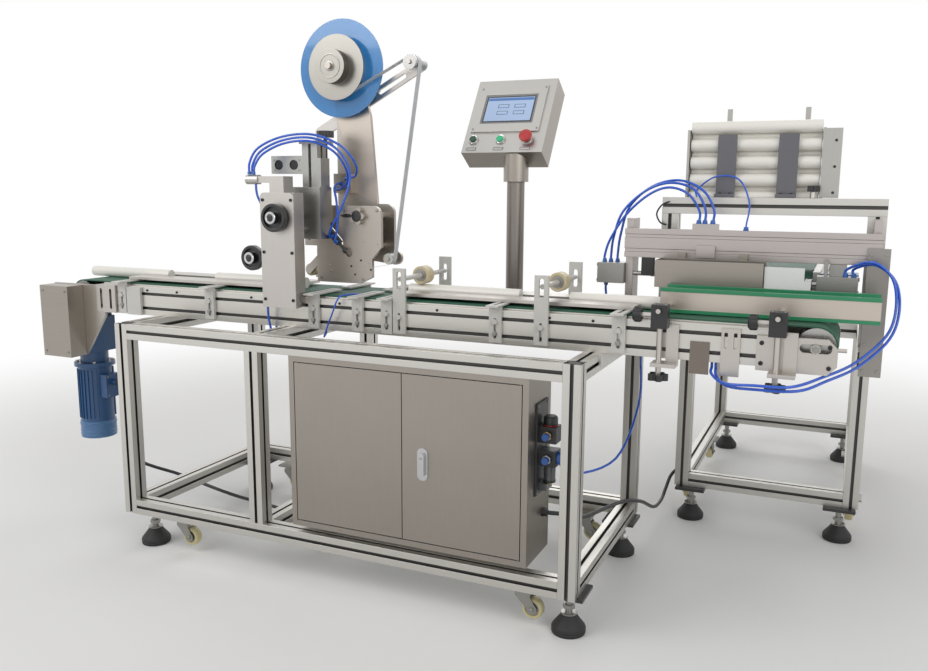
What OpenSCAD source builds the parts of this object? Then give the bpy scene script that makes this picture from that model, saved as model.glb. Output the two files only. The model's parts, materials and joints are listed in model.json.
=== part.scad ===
// Tube tape applicator: conveyor, tape head, console and cabinet on one frame, tube infeed on another.
// Drawn in millimetres with the main frame's front left corner at zero, then moved to the front left foot.

/* [Main frame] */
// Length of the main frame
frame_l = 1270; // [1260:5:1300]
// Depth of the main frame
frame_d = 590; // [570:10:650]
// Height of the top of both frames above the floor
frame_h = 620; // [600:10:680]
// Width of the square slotted profile of both frames
profile_w = 40; // [38:1:42]
// Height of the underside of the low rails above the floor
low_rail_z = 100; // [98:1:120]

/* [Infeed frame] */
// Clear gap between the two frames
frame_gap = 50; // [40:5:70]
// Width of the infeed frame
infeed_l = 505; // [500:5:540]
// Distance from the main frame's front to the infeed frame's front legs
infeed_y = 860; // [840:10:880]
// Depth of the infeed frame
infeed_d = 840; // [800:10:880]

/* [Conveyor] */
// Width across the two side beams
conveyor_w = 250; // [246:1:256]
// Height of the side beams
beam_h = 80; // [78:1:86]
// Distance of the conveyor's centre line from the main frame's front
line_y = 275; // [270:1:285]
// Outer radius of the belt where it turns
belt_r = 41; // [38:1:42]

/* [Tubes] */
// Diameter of a tube
tube_d = 30; // [28:0.5:32]
// Length of a tube
tube_l = 300; // [290:1:304]

/* [Tape head] */
// Width of the tape
tape_w = 20; // [16:1:20]
// Diameter of the clear rear disc of the reel
disc_d = 244; // [220:2:250]
// Diameter of the roll of tape
roll_d = 140; // [120:2:150]
// Diameter of the reel's front flange
flange_d = 162; // [150:2:180]

/* [Console] */
// Diameter of the console post
post_d = 48; // [42:1:54]
// Width of the console box
console_w = 233; // [225:1:250]
// Height of the console's sloping face
console_h = 242; // [236:1:250]
// Thickness of the console box
console_t = 71; // [66:1:76]

/* [Cabinet] */
// Width of the control cabinet
cabinet_w = 610; // [580:5:640]
// Depth of the control cabinet
cabinet_d = 148; // [140:2:180]
// Height of the control cabinet
cabinet_h = 424; // [400:4:430]

/* [Feet and casters] */
// Diameter of a foot pad
foot_d = 75; // [65:1:80]
// Diameter of a caster wheel
caster_d = 50; // [44:1:52]

/* [Hidden] */
$fn = 48;

// Clearances and overruns shared by all pieces
over = 1;
shaft_gap = 0.05;
joint_gap = 0.1;
slide_gap = 0.3;
seam = 2;

// Slots of the profiles
slot_w = 8;
slot_neck = 2;
slot_in_w = 14;
slot_in_d = 5;

// Heights and places that several pieces share
infeed_x = frame_l + frame_gap;
belt_lift = 6;
belt_t = 3;
beam_w = 20;
deck_z = frame_h + beam_h;
belt_top = deck_z + belt_lift;
tube_r = tube_d / 2;
tube_top = belt_top + tube_d;
beam_back = line_y + conveyor_w / 2;

// Plain shapes laid out by their two ends on each axis
module block(x, y, z) {
  translate([x[0], y[0], z[0]])
    cube([x[1] - x[0], y[1] - y[0], z[1] - z[0]]);
}

module rod_x(x, y, z, r) {
  translate([x[0], y, z])
    rotate([0, 90, 0])
      cylinder(r = r, h = x[1] - x[0]);
}

module rod_y(x, y, z, r) {
  translate([x, y[1], z])
    rotate([90, 0, 0])
      cylinder(r = r, h = y[1] - y[0]);
}

module rod_z(x, y, z, r) {
  translate([x, y, z[0]])
    cylinder(r = r, h = z[1] - z[0]);
}

// Upright plate whose outline lies in X and Z
module plate_y(y) {
  translate([0, y[1], 0])
    rotate([90, 0, 0])
      linear_extrude(y[1] - y[0])
        children();
}

// Upright plate whose outline lies in Y and Z
module plate_x(x) {
  translate([x[0], 0, 0])
    rotate([90, 0, 90])
      linear_extrude(x[1] - x[0])
        children();
}

module plate_z(z) {
  translate([0, 0, z[0]])
    linear_extrude(z[1] - z[0])
      children();
}

// Rectangle with its four corners rounded
module round_rect(x, z, r) {
  translate([x[0] + r, z[0]])
    square([x[1] - x[0] - 2 * r, z[1] - z[0]]);
  translate([x[0], z[0] + r])
    square([x[1] - x[0], z[1] - z[0] - 2 * r]);
  for (px = [x[0] + r, x[1] - r], pz = [z[0] + r, z[1] - r])
    translate([px, pz])
      circle(r = r);
}

// Slot with round ends, upright or lying
module slot_z(x, z, r) {
  translate([x - r, z[0] + r])
    square([2 * r, z[1] - z[0] - 2 * r]);
  for (pz = [z[0] + r, z[1] - r])
    translate([x, pz])
      circle(r = r);
}

module slot_x(x, z, r) {
  translate([x[0] + r, z - r])
    square([x[1] - x[0] - 2 * r, 2 * r]);
  for (px = [x[0] + r, x[1] - r])
    translate([px, z])
      circle(r = r);
}

// Slotted profile: a groove with an undercut in the middle of each pitch
module groove() {
  translate([-slot_w / 2, -over])
    square([slot_w, slot_neck + over]);
  translate([-slot_in_w / 2, slot_neck])
    square([slot_in_w, slot_in_d]);
}

module section(w, h) {
  columns = round(w / profile_w);
  rows = round(h / profile_w);
  difference() {
    square([w, h]);
    for (i = [0 : columns - 1]) {
      translate([(i + 1 / 2) * w / columns, 0])
        groove();
      translate([(i + 1 / 2) * w / columns, h])
        mirror([0, 1])
          groove();
    }
    for (i = [0 : rows - 1]) {
      translate([0, (i + 1 / 2) * h / rows])
        rotate(-90)
          groove();
      translate([w, (i + 1 / 2) * h / rows])
        rotate(90)
          groove();
    }
  }
}

module profile_x(x, y, z, w = profile_w, h = profile_w) {
  translate([0, y, z])
    plate_x(x)
      section(w, h);
}

module profile_y(y, x, z, w = profile_w, h = profile_w) {
  translate([x, 0, z])
    plate_y(y)
      section(w, h);
}

module profile_z(z, x, y, w = profile_w, h = profile_w) {
  translate([x, y, 0])
    plate_z(z)
      section(w, h);
}

// Pieces above the conveyor are measured from its centre line and from the top of its beams
module deck() {
  translate([0, line_y, deck_z])
    children();
}

// The tape head is measured from the top of the tubes that it tapes
module head() {
  translate([0, line_y, tube_top])
    children();
}

// Infeed pieces are measured from their frame's left side, the centre line and the frame's top
module infeed() {
  translate([infeed_x, line_y, frame_h])
    children();
}

// Main frame: corner legs, middle uprights and rails
mid_x = 417;
side_plate_t = 6;
side_plate_y = [133, 277];
side_plate_drop = 26;
top_rail_z = frame_h - profile_w;

module main_frame() {
  right_x = frame_l - profile_w;
  for (y = [0, frame_d - profile_w]) {
    for (x = [0, right_x])
      profile_z([low_rail_z, frame_h], x, y);
    profile_z([low_rail_z + profile_w + joint_gap, top_rail_z - joint_gap], mid_x, y);
    for (z = [low_rail_z, top_rail_z])
      profile_x([profile_w + joint_gap, right_x - joint_gap], y, z);
  }
  for (x = [0, mid_x, right_x], z = [low_rail_z, top_rail_z])
    profile_y([profile_w + joint_gap, frame_d - profile_w - joint_gap], x, z);
  block([frame_l, frame_l + side_plate_t], side_plate_y, [frame_h - side_plate_drop, frame_h]);
}

// Infeed frame: its two top side rails run forward to carry the conveyor's rear beam
infeed_right = infeed_x + infeed_l - profile_w;
infeed_back = infeed_y + infeed_d - profile_w;
panel_y = 402;

module infeed_frame() {
  for (x = [infeed_x, infeed_right]) {
    for (y = [infeed_y, infeed_back])
      profile_z([low_rail_z, top_rail_z - joint_gap], x, y);
    profile_y([infeed_y + profile_w + joint_gap, infeed_back - joint_gap], x, low_rail_z);
  }
  profile_y([beam_back - beam_w, infeed_y + infeed_d], infeed_x, top_rail_z);
  profile_y([panel_y + panel_t, infeed_y + infeed_d], infeed_right, top_rail_z);
  for (y = [infeed_y, infeed_back], z = [low_rail_z, top_rail_z])
    profile_x([infeed_x + profile_w + joint_gap, infeed_right - joint_gap], y, z);
}

// Levelling feet: a mounting plate, a threaded stem with a nut and a domed rubber pad
foot_x = 46;
foot_right_x = 30;
foot_y = 60;
infeed_foot_x = 48;
foot_plate = 42;
foot_plate_t = 8;
foot_rim_h = 16;
foot_top_z = 45;
foot_top_r = 15;
stem_r = 8;
nut_r = 14;
nut_h = 10;
nut_z = 56;

module foot(x, y) {
  translate([x, y, 0]) {
    cylinder(r = foot_d / 2, h = foot_rim_h);
    translate([0, 0, foot_rim_h])
      cylinder(r1 = foot_d / 2, r2 = foot_top_r, h = foot_top_z - foot_rim_h);
    translate([0, 0, foot_top_z])
      cylinder(r = stem_r, h = low_rail_z - foot_plate_t - foot_top_z);
    translate([0, 0, nut_z])
      cylinder(r = nut_r, h = nut_h, $fn = 6);
    block([-foot_plate, foot_plate], [-foot_plate, foot_plate], [low_rail_z - foot_plate_t, low_rail_z]);
  }
}

module levelling_feet() {
  for (x = [foot_x, frame_l - foot_right_x], y = [foot_y, frame_d - foot_y])
    foot(x, y);
  for (x = [infeed_x + infeed_foot_x, infeed_x + infeed_l - infeed_foot_x])
    for (y = [infeed_y + profile_w / 2, infeed_y + infeed_d - profile_w / 2])
      foot(x, y);
}

// Casters: trailing forks whose wheels hang clear of the floor
caster_x = 163;
caster_right_x = 132;
caster_y = 50;
infeed_caster_front = 115;
infeed_caster_back = 280;
trail = 22;
caster_z = 45;
caster_w = 22;
caster_gap = 1;
cheek_t = 3;
cheek_half = 12;
axle_r = 4;
crown_gap = 4;
crown_h = 11;
crown_half = 18;
swivel_r = 20;
caster_plate = 30;
caster_plate_t = 5;
tread_bevel = 3;
caster_r = caster_d / 2;
fork_half = caster_w / 2 + caster_gap + cheek_t;

module caster_fork(x, y, turn) {
  crown_z = caster_z + caster_r + crown_gap;
  translate([x, y, 0])
    rotate(turn) {
      block([-caster_plate, caster_plate], [-caster_plate, caster_plate], [low_rail_z - caster_plate_t, low_rail_z]);
      rod_z(0, 0, [crown_z + crown_h, low_rail_z - caster_plate_t], swivel_r);
      block([-crown_half, crown_half], [-fork_half, fork_half], [crown_z, crown_z + crown_h]);
      for (side = [-fork_half, fork_half - cheek_t])
        plate_y([side, side + cheek_t]) {
          polygon([[-crown_half, crown_z], [trail - cheek_half, caster_z], [trail + cheek_half, caster_z],
            [crown_half, crown_z]]);
          translate([trail, caster_z])
            circle(r = cheek_half);
        }
      rod_y(trail, [-fork_half, fork_half], caster_z, axle_r);
    }
}

module caster_wheel(x, y, turn) {
  half = caster_w / 2;
  translate([x, y, caster_z])
    rotate(turn)
      translate([trail, 0, 0])
        rotate([90, 0, 0])
          difference() {
            rotate_extrude()
              polygon([[0, -half], [caster_r - tread_bevel, -half], [caster_r, tread_bevel - half],
                [caster_r, half - tread_bevel], [caster_r - tread_bevel, half], [0, half]]);
            translate([0, 0, -caster_w])
              cylinder(r = axle_r + shaft_gap, h = 2 * caster_w);
          }
}

main_caster_xs = [caster_x, frame_l - caster_right_x];
main_caster_ys = [caster_y, frame_d - caster_y];
infeed_caster_xs = [infeed_x + profile_w / 2, infeed_x + infeed_l - profile_w / 2];
infeed_front_y = infeed_y + infeed_caster_front;
infeed_back_y = infeed_y + infeed_d - infeed_caster_back;

module caster_forks() {
  for (x = main_caster_xs, y = main_caster_ys)
    caster_fork(x, y, 0);
  for (x = infeed_caster_xs, y = [infeed_front_y, infeed_back_y])
    caster_fork(x, y, 90);
}

module caster_pair(xs, ys, turn) {
  for (x = xs, y = ys)
    caster_wheel(x, y, turn);
}

// Conveyor: two side beams, a slide bed that rests on them and cross ties between them
beam_x = [-200, infeed_x + 300];
beam_slot_zs = [-20, -60];
bed_edge = 6;
bed_t = belt_lift - belt_t;
tie_w = 40;
tie_z = [-60, -20];
tie_inset = 50;
tie_count = 5;
half_w = conveyor_w / 2;
inner_w = half_w - beam_w;
plate_t = 8;

module conveyor_beams() {
  pitch = (beam_x[1] - beam_x[0] - 2 * tie_inset - tie_w) / (tie_count - 1);
  deck() {
    for (side = [0, 1])
      mirror([0, side, 0])
        plate_x(beam_x)
          translate([-half_w, -beam_h])
            difference() {
              square([beam_w, beam_h]);
              for (z = beam_slot_zs)
                translate([0, beam_h + z])
                  rotate(-90)
                    groove();
            }
    block(beam_x, [-inner_w - bed_edge, inner_w + bed_edge], [joint_gap, bed_t]);
    for (i = [0 : tie_count - 1])
      translate([beam_x[0] + tie_inset + i * pitch, 0, 0])
        block([0, tie_w], [joint_gap - inner_w, inner_w - joint_gap], tie_z);
  }
}

// Belt: one closed loop round both pulleys, between the beams
drive_x = -290;
tail_x = infeed_x + 386;
axis_z = belt_lift - belt_r;
belt_half = inner_w - seam;
pulley_r = belt_r - belt_t - slide_gap;

module belt_outline(inset) {
  r = belt_r - inset;
  for (x = [drive_x, tail_x])
    translate([x, axis_z])
      circle(r = r);
  translate([drive_x, axis_z - r])
    square([tail_x - drive_x, 2 * r]);
}

module main_belt() {
  deck()
    plate_y([-belt_half, belt_half])
      difference() {
        belt_outline(0);
        belt_outline(belt_t);
      }
}

// Drive: a pulley on a through shaft, chained to the upright gear motor below it
shaft_r = 10;
sprocket_r = 22;
sprocket_y = [-172, -162];
chain_y = [-170, -164];
chain_t = 4;
shaft_end = 6;
motor_x = -312;
motor_y = -60;
motor_out_z = -145;
motor_shaft_r = 9;
motor_shaft_depth = 30;

module drive_pulley() {
  deck() {
    rod_y(drive_x, [-belt_half, belt_half], axis_z, pulley_r);
    rod_y(drive_x, [sprocket_y[1], half_w + plate_t + shaft_end], axis_z, shaft_r);
    rod_y(drive_x, sprocket_y, axis_z, sprocket_r);
  }
}

module motor_sprocket() {
  deck() {
    rod_y(motor_x, [sprocket_y[1], motor_shaft_depth - half_w], motor_out_z, motor_shaft_r);
    rod_y(motor_x, sprocket_y, motor_out_z, sprocket_r);
  }
}

module chain_outline(r) {
  dx = motor_x - drive_x;
  dz = motor_out_z - axis_z;
  span = sqrt(dx * dx + dz * dz);
  translate([drive_x, axis_z])
    rotate(atan2(dz, dx)) {
      circle(r = r);
      translate([span, 0])
        circle(r = r);
      translate([0, -r])
        square([span, 2 * r]);
    }
}

module drive_chain() {
  deck()
    plate_y(chain_y)
      difference() {
        chain_outline(sprocket_r + slide_gap + chain_t);
        chain_outline(sprocket_r + slide_gap);
      }
}

// Tail: the pulley runs on a fixed axle held in slotted plates
tail_bore_r = 9;

module tail_pulley() {
  deck()
    difference() {
      rod_y(tail_x, [-belt_half, belt_half], axis_z, pulley_r);
      rod_y(tail_x, [-inner_w, inner_w], axis_z, tail_bore_r + shaft_gap);
    }
}

// End plates: the tall drive plate, a short one behind it and slotted ones at the tail
drive_plate_x = [-372, -180];
drive_plate_z = [-210, -3];
drive_plate_low_x = -262;
drive_plate_step_z = -90;
shaft_hole_r = 14;
rear_plate_low_z = -87;
tail_plate_x = [infeed_x + 274, infeed_x + 427];
tail_plate_z = [-87, -15];
tail_bevel = 18;
tail_slot_half = 30;
tail_bolt_r = 4;
tail_bolt_l = 16;
end_bracket_x = [-200, -130];
end_bracket_z = [-78, 0];
end_slot_r = 4;
end_slot_inset = 10;

module drive_plate_outline() {
  polygon([[drive_plate_x[0], drive_plate_z[1]], [drive_plate_x[1], drive_plate_z[1]],
    [drive_plate_x[1], drive_plate_step_z], [drive_plate_low_x, drive_plate_z[0]],
    [drive_plate_x[0], drive_plate_z[0]]]);
}

module tail_plate_outline() {
  difference() {
    polygon([[tail_plate_x[0], tail_plate_z[0]], [tail_plate_x[1] - tail_bevel, tail_plate_z[0]],
      [tail_plate_x[1], tail_plate_z[0] + tail_bevel], [tail_plate_x[1], tail_plate_z[1] - tail_bevel],
      [tail_plate_x[1] - tail_bevel, tail_plate_z[1]], [tail_plate_x[0], tail_plate_z[1]]]);
    slot_x([tail_x - tail_slot_half, tail_x + tail_slot_half], axis_z, tail_bore_r + joint_gap);
  }
}

module pulley_plates() {
  front = [-half_w - plate_t, -half_w];
  back = [half_w, half_w + plate_t];
  deck() {
    difference() {
      plate_y(front)
        drive_plate_outline();
      rod_y(drive_x, [-half_w - 2 * plate_t, 0], axis_z, shaft_r + shaft_gap);
      rod_y(motor_x, [-half_w - 2 * plate_t, 0], motor_out_z, shaft_hole_r);
    }
    difference() {
      block(drive_plate_x, back, [rear_plate_low_z, drive_plate_z[1]]);
      rod_y(drive_x, [0, half_w + 2 * plate_t], axis_z, shaft_r + shaft_gap);
    }
    for (y = [front, back])
      plate_y(y)
        tail_plate_outline();
    rod_y(tail_x, [front[0] - shaft_end, back[1] + shaft_end], axis_z, tail_bore_r);
    rod_x([tail_plate_x[1], tail_plate_x[1] + tail_bolt_l], (front[0] + front[1]) / 2, axis_z, tail_bolt_r);
    plate_y([front[0] - plate_t, front[0]])
      difference() {
        translate([end_bracket_x[0], end_bracket_z[0]])
          square([end_bracket_x[1] - end_bracket_x[0], end_bracket_z[1] - end_bracket_z[0]]);
        for (share = [1 / 4, 3 / 4])
          slot_z(end_bracket_x[0] + share * (end_bracket_x[1] - end_bracket_x[0]),
            [end_bracket_z[0] + end_slot_inset, end_bracket_z[1] - end_slot_inset], end_slot_r);
      }
  }
}

// Sheet cover over the chain, open towards the drive plate
cover_x = [-367, -260];
cover_y = [-190, -133];
cover_z = [-210, -5];
sheet_t = 1.5;

module drive_cover() {
  deck()
    difference() {
      block(cover_x, [cover_y[0], -half_w - plate_t], cover_z);
      block([cover_x[0] + sheet_t, cover_x[1] - sheet_t], [cover_y[0] + sheet_t, over - half_w - plate_t],
        [cover_z[0] + sheet_t, cover_z[1] - sheet_t]);
    }
}

// Gear motor: a gearbox on the drive plate with the motor hanging below it
gearbox_half = 45;
gearbox_back = -15;
gearbox_z = [-212, -108];
gearbox_cap_z = -90;
gearbox_cap_half = 34;
motor_neck_z = -245;
motor_neck_r = 40;
motor_flange_r = 58;
motor_flange_h = 12;
motor_body_z = -425;
motor_body_r = 48;
motor_fan_z = -475;
motor_fan_r = 51;
motor_box_half = 26;
motor_box_z = [-350, -280];
motor_box_depth = 70;
gland_r = 9;
gland_l = 18;
gland_z = -304;

module gear_motor() {
  deck() {
    difference() {
      union() {
        block([motor_x - gearbox_half, motor_x + gearbox_half], [-half_w, gearbox_back], gearbox_z);
        block([motor_x - gearbox_cap_half, motor_x + gearbox_cap_half], [-half_w, gearbox_back],
          [gearbox_z[1], gearbox_cap_z]);
      }
      rod_y(motor_x, [-half_w - over, motor_shaft_depth - half_w + seam], motor_out_z, motor_shaft_r + shaft_gap);
    }
    rod_z(motor_x, motor_y, [motor_neck_z, gearbox_z[0]], motor_neck_r);
    rod_z(motor_x, motor_y, [motor_neck_z - motor_flange_h, motor_neck_z], motor_flange_r);
    rod_z(motor_x, motor_y, [motor_body_z, motor_neck_z - motor_flange_h], motor_body_r);
    rod_z(motor_x, motor_y, [motor_fan_z, motor_body_z], motor_fan_r);
    difference() {
      block([motor_x, motor_x + motor_box_depth], [motor_y - motor_box_half, motor_y + motor_box_half], motor_box_z);
      rod_z(motor_x, motor_y, [motor_body_z, motor_neck_z], motor_body_r);
    }
    rod_x([motor_x + motor_box_depth, motor_x + motor_box_depth + gland_l], motor_y, gland_z, gland_r);
  }
}

// Guide brackets: an upright slotted plate on a beam and a slotted arm over the belt, on both sides
bracket_xs = [-128, 182, 512, 640, 722, 1006, infeed_x - 26];
bracket_w = 30;
bracket_z = [-75, 9];
bracket_slot_z = [-66, -18];
bracket_slot_r = 3.5;
arm_t = 4;
arm_out = 30;
arm_slot_inset = 12;
guide_gap = 5;
bolt_r = 6;
bolt_h = 5;
bolt_z = -20;
side_block_x = [-95, -45];
side_block_z = [-80, -3];

module guide_brackets() {
  arm_in = tube_r + guide_gap - over;
  mid = bracket_w / 2;
  deck() {
    for (x = bracket_xs, side = [0, 1])
      translate([x, 0, 0])
        mirror([0, side, 0]) {
          plate_y([-half_w - plate_t, -half_w])
            difference() {
              translate([0, bracket_z[0]])
                square([bracket_w, bracket_z[1] - bracket_z[0]]);
              slot_z(mid, bracket_slot_z, bracket_slot_r);
            }
          rod_y(mid, [-half_w - plate_t - bolt_h, -half_w - plate_t], bolt_z - bolt_r, bolt_r);
          plate_z([bracket_z[1] + joint_gap, bracket_z[1] + arm_t])
            difference() {
              translate([0, -half_w - arm_out])
                square([bracket_w, half_w + arm_out - arm_in]);
              slot_z(mid, [arm_slot_inset - half_w - arm_out, -arm_in - arm_slot_inset], bracket_slot_r);
            }
        }
    block(side_block_x, [-half_w - plate_t, -half_w], side_block_z);
  }
}

// Guide strips on the arms, beside the tubes
strip_xs = [[-130, 405], [745, infeed_x + 10]];
strip_w = 65;
strip_t = 8;

module belt_strips() {
  z0 = bracket_z[1] + arm_t + joint_gap;
  deck()
    for (x = strip_xs, side = [0, 1])
      mirror([0, side, 0])
        block(x, [-tube_r - guide_gap - strip_w, -tube_r - guide_gap], [z0, z0 + strip_t]);
}

// Press rollers: each turns on an axle between two tall slotted brackets
press_xs = [755, 1115];
press_w = 33;
press_front_z = [-73, 85];
press_back_z = [-73, 96];
press_low_slot = [-65, -22];
press_high_slot = [34, 78];
press_axle_r = 6;
press_r = 22.7;
press_half = 17.5;
press_z = belt_lift + tube_d + press_r + slide_gap;

module press_plate(z) {
  difference() {
    translate([0, z[0]])
      square([press_w, z[1] - z[0]]);
    slot_z(press_w / 2, press_low_slot, bracket_slot_r);
    slot_z(press_w / 2, press_high_slot, press_axle_r);
  }
}

module roller_brackets() {
  deck()
    for (x = press_xs)
      translate([x, 0, 0]) {
        plate_y([-half_w - plate_t, -half_w])
          press_plate(press_front_z);
        plate_y([half_w, half_w + plate_t])
          press_plate(press_back_z);
        rod_y(press_w / 2, [joint_gap - half_w, half_w - joint_gap], press_z, press_axle_r);
        for (y = [-half_w - plate_t - bolt_h, half_w + plate_t])
          rod_y(press_w / 2, [y, y + bolt_h], bolt_z - 2 * bolt_r, bolt_r);
      }
}

module press_roller(x) {
  deck()
    difference() {
      rod_y(x + press_w / 2, [-press_half, press_half], press_z, press_r);
      rod_y(x + press_w / 2, [-press_r, press_r], press_z, press_axle_r + shaft_gap);
    }
}

// Guide rails where the tubes drop onto the belt: aluminium plates with green strips on their edges
rail_x = [58, 500];
rail_gap = 35;
rail_t = 8;
rail_z = [16, 54];
edge_z = 8;
edge_t = 14;

module infeed_rails() {
  deck()
    translate([infeed_x, 0, 0])
      for (side = [0, 1])
        mirror([0, side, 0]) {
          block(rail_x, [-rail_gap - rail_t, -rail_gap], rail_z);
          for (z = [rail_z[0] - edge_z, rail_z[1]])
            block(rail_x, [-rail_gap - (rail_t + edge_t) / 2, (edge_t - rail_t) / 2 - rail_gap], [z, z + edge_z]);
        }
}

module tube_guides() {
  belt_strips();
  infeed_rails();
}

// Clamps that hold the rails: bracket, upright rod, star knob, block and cross rod
clamp_xs = [80, 315];
clamp_y = -145;
clamp_half = 17;
clamp_block_y = [-160, -130];
clamp_block_z = [-12, 38];
clamp_rod_r = 6;
clamp_rod_z = -110;
clamp_cross_r = 5;
clamp_cross_z = 26;
clamp_plate_x = [12, 38];
clamp_plate_z = [-85, -5];
clamp_foot_x = [-14, 38];
clamp_foot_y = -165;
knob_shaft_l = 22;
knob_r = 15;
knob_l = 16;
knob_z = 14;
star_r = 22;
star_h = 14;
star_lobe_r = 7;
star_lobes = 5;
sensor_plate_x = [141, 181];
sensor_plate_z = [-107, -38];
sensor_plate_t = 3;
slot_plate_x = [204, 242];
slot_plate_z = [-106, -6];
slot_plate_t = 6;
slot_plate_slot_z = [-48, -14];

module star_knob(r, h, lobe_r, lobes) {
  linear_extrude(h) {
    circle(r = r - lobe_r);
    for (i = [0 : lobes - 1])
      rotate(i * 360 / lobes)
        translate([r - lobe_r, 0])
          circle(r = lobe_r);
  }
}

module guide_clamp(out) {
  plate_y([-half_w - plate_t, -half_w])
    translate([clamp_plate_x[0], clamp_plate_z[0]])
      square([clamp_plate_x[1] - clamp_plate_x[0], clamp_plate_z[1] - clamp_plate_z[0]]);
  block(clamp_foot_x, [clamp_foot_y, -half_w], [clamp_plate_z[0] - plate_t, clamp_plate_z[0]]);
  rod_z(0, clamp_y, [clamp_rod_z, clamp_block_z[0]], clamp_rod_r);
  block([-clamp_half, clamp_half], clamp_block_y, clamp_block_z);
  rod_y(0, [clamp_block_y[0] - knob_shaft_l / 2, out - rail_gap - rail_t], clamp_cross_z, clamp_cross_r);
  rod_x([-clamp_half - knob_shaft_l, -clamp_half], clamp_y, knob_z, clamp_cross_r);
  rod_x([-clamp_half - knob_shaft_l - knob_l, -clamp_half - knob_shaft_l], clamp_y, knob_z, knob_r);
  translate([0, clamp_y, clamp_rod_z - star_h])
    star_knob(star_r, star_h, star_lobe_r, star_lobes);
}

module guide_clamps() {
  deck()
    translate([infeed_x, 0, 0]) {
      for (i = [0, 1], side = [0, 1])
        mirror([0, side, 0])
          translate([clamp_xs[i], -i * plate_t, 0])
            guide_clamp(i * plate_t);
      block(sensor_plate_x, [-half_w - sensor_plate_t, -half_w], sensor_plate_z);
      plate_y([-half_w - slot_plate_t, -half_w])
        difference() {
          translate([slot_plate_x[0], slot_plate_z[0]])
            square([slot_plate_x[1] - slot_plate_x[0], slot_plate_z[1] - slot_plate_z[0]]);
          for (share = [1 / 4, 3 / 4])
            slot_z(slot_plate_x[0] + share * (slot_plate_x[1] - slot_plate_x[0]), slot_plate_slot_z, bracket_slot_r);
        }
    }
}

// Tower: a tall housing on the front beam, closed by a front plate with rounded top corners
tower_x = [410, 500];
tower_depth = 40;
tower_z = [-59, 226];
tower_plate_t = 10;
tower_edge = 5;
tower_round = 12;
post_block_x = [428, 470];
post_block_h = 40;
clip_arm_x = 384;
clip_arm_z = [250, 266];
clip_arm_y = [-153, -137];
clip_x = 347;
clip_r = 12;
side_arm_x = 342;
side_arm_z = [45, 77];
side_arm_t = 15;

// Guide rods and screw that carry the column forward and back
rod_r = 8;
rod_xs = [437, 473];
rod_z_low = 135;
rod_reach = 23;
screw_r = 6;
screw_x = 455;
screw_z = 165;
screw_end = -60;
side_wheel_x = 360;
side_wheel_z = 61;

module tower() {
  back = -half_w;
  front = back - tower_depth;
  head() {
    difference() {
      union() {
        block(tower_x, [front, back], tower_z);
        plate_y([front - tower_plate_t, front]) {
          round_rect([tower_x[0] - tower_edge, tower_x[1] + tower_edge],
            [tower_z[1] - 2 * tower_round - over, tower_z[1]], tower_round);
          translate([tower_x[0] - tower_edge, tower_z[0]])
            square([tower_x[1] - tower_x[0] + 2 * tower_edge, tower_z[1] - tower_z[0] - tower_round]);
        }
      }
      for (x = rod_xs)
        rod_y(x, [front, back + over], rod_z_low, rod_r + shaft_gap);
      rod_y(screw_x, [front - 2 * tower_plate_t, back + over], screw_z, screw_r + shaft_gap);
    }
    block(post_block_x, [front, back], [tower_z[1], tower_z[1] + post_block_h]);
    block([clip_arm_x, post_block_x[0]], clip_arm_y, clip_arm_z);
    rod_x([clip_x, clip_arm_x], (clip_arm_y[0] + clip_arm_y[1]) / 2, (clip_arm_z[0] + clip_arm_z[1]) / 2, clip_r);
    difference() {
      block([side_arm_x, tower_x[0]], [back - side_arm_t, back], side_arm_z);
      rod_y(side_wheel_x, [back - side_arm_t - over, back + over], side_wheel_z, screw_r + shaft_gap);
    }
  }
}

// Handwheels: a rim, a thinner web and a hub on a screw
hand_r = 35;
side_hand_r = 32;
rim_w = 8;
rim_t = 16;
web_t = 6;
hub_r = 14;
hub_t = 26;
hand_gap = 3;
side_screw_end = 8;

module handwheel(r) {
  difference() {
    cylinder(r = r, h = rim_t);
    translate([0, 0, web_t])
      cylinder(r = r - rim_w, h = rim_t);
  }
  cylinder(r = hub_r, h = hub_t);
}

module front_handwheel() {
  face = -half_w - tower_depth - tower_plate_t - hand_gap;
  head() {
    translate([screw_x, face, screw_z])
      rotate([90, 0, 0])
        handwheel(hand_r);
    rod_y(screw_x, [face, screw_end], screw_z, screw_r);
  }
}

module side_handwheel() {
  face = -half_w - side_arm_t - hand_gap;
  head() {
    translate([side_wheel_x, face, side_wheel_z])
      rotate([90, 0, 0])
        handwheel(side_hand_r);
    rod_y(side_wheel_x, [face, side_screw_end - half_w], side_wheel_z, screw_r);
  }
}

// Column: carriage plate with two guide rods, profile, side plate, rail and cap
carriage_x = [428, 527];
carriage_y = [-93, -85];
carriage_z = [110, 240];
column_x = [472, 517];
column_back = -45;
column_z = [110, 347];
side_plate_top = 312;
slide_rail_x = [486, 503];
slide_rail_t = 10;
cap_x = [465, 527];
cap_y = [-88, -26];
cap_t = 8;
lift_screw_x = 511;
lift_screw_y = -37;
lift_screw_r = 5;
lift_screw_low = 164;
valve_x = [377, 472];
valve_y = [-85, -55];
valve_z = [273, 318];
socket_xs = [400, 446];
socket_r = 11;
socket_depth = 8;

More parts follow.
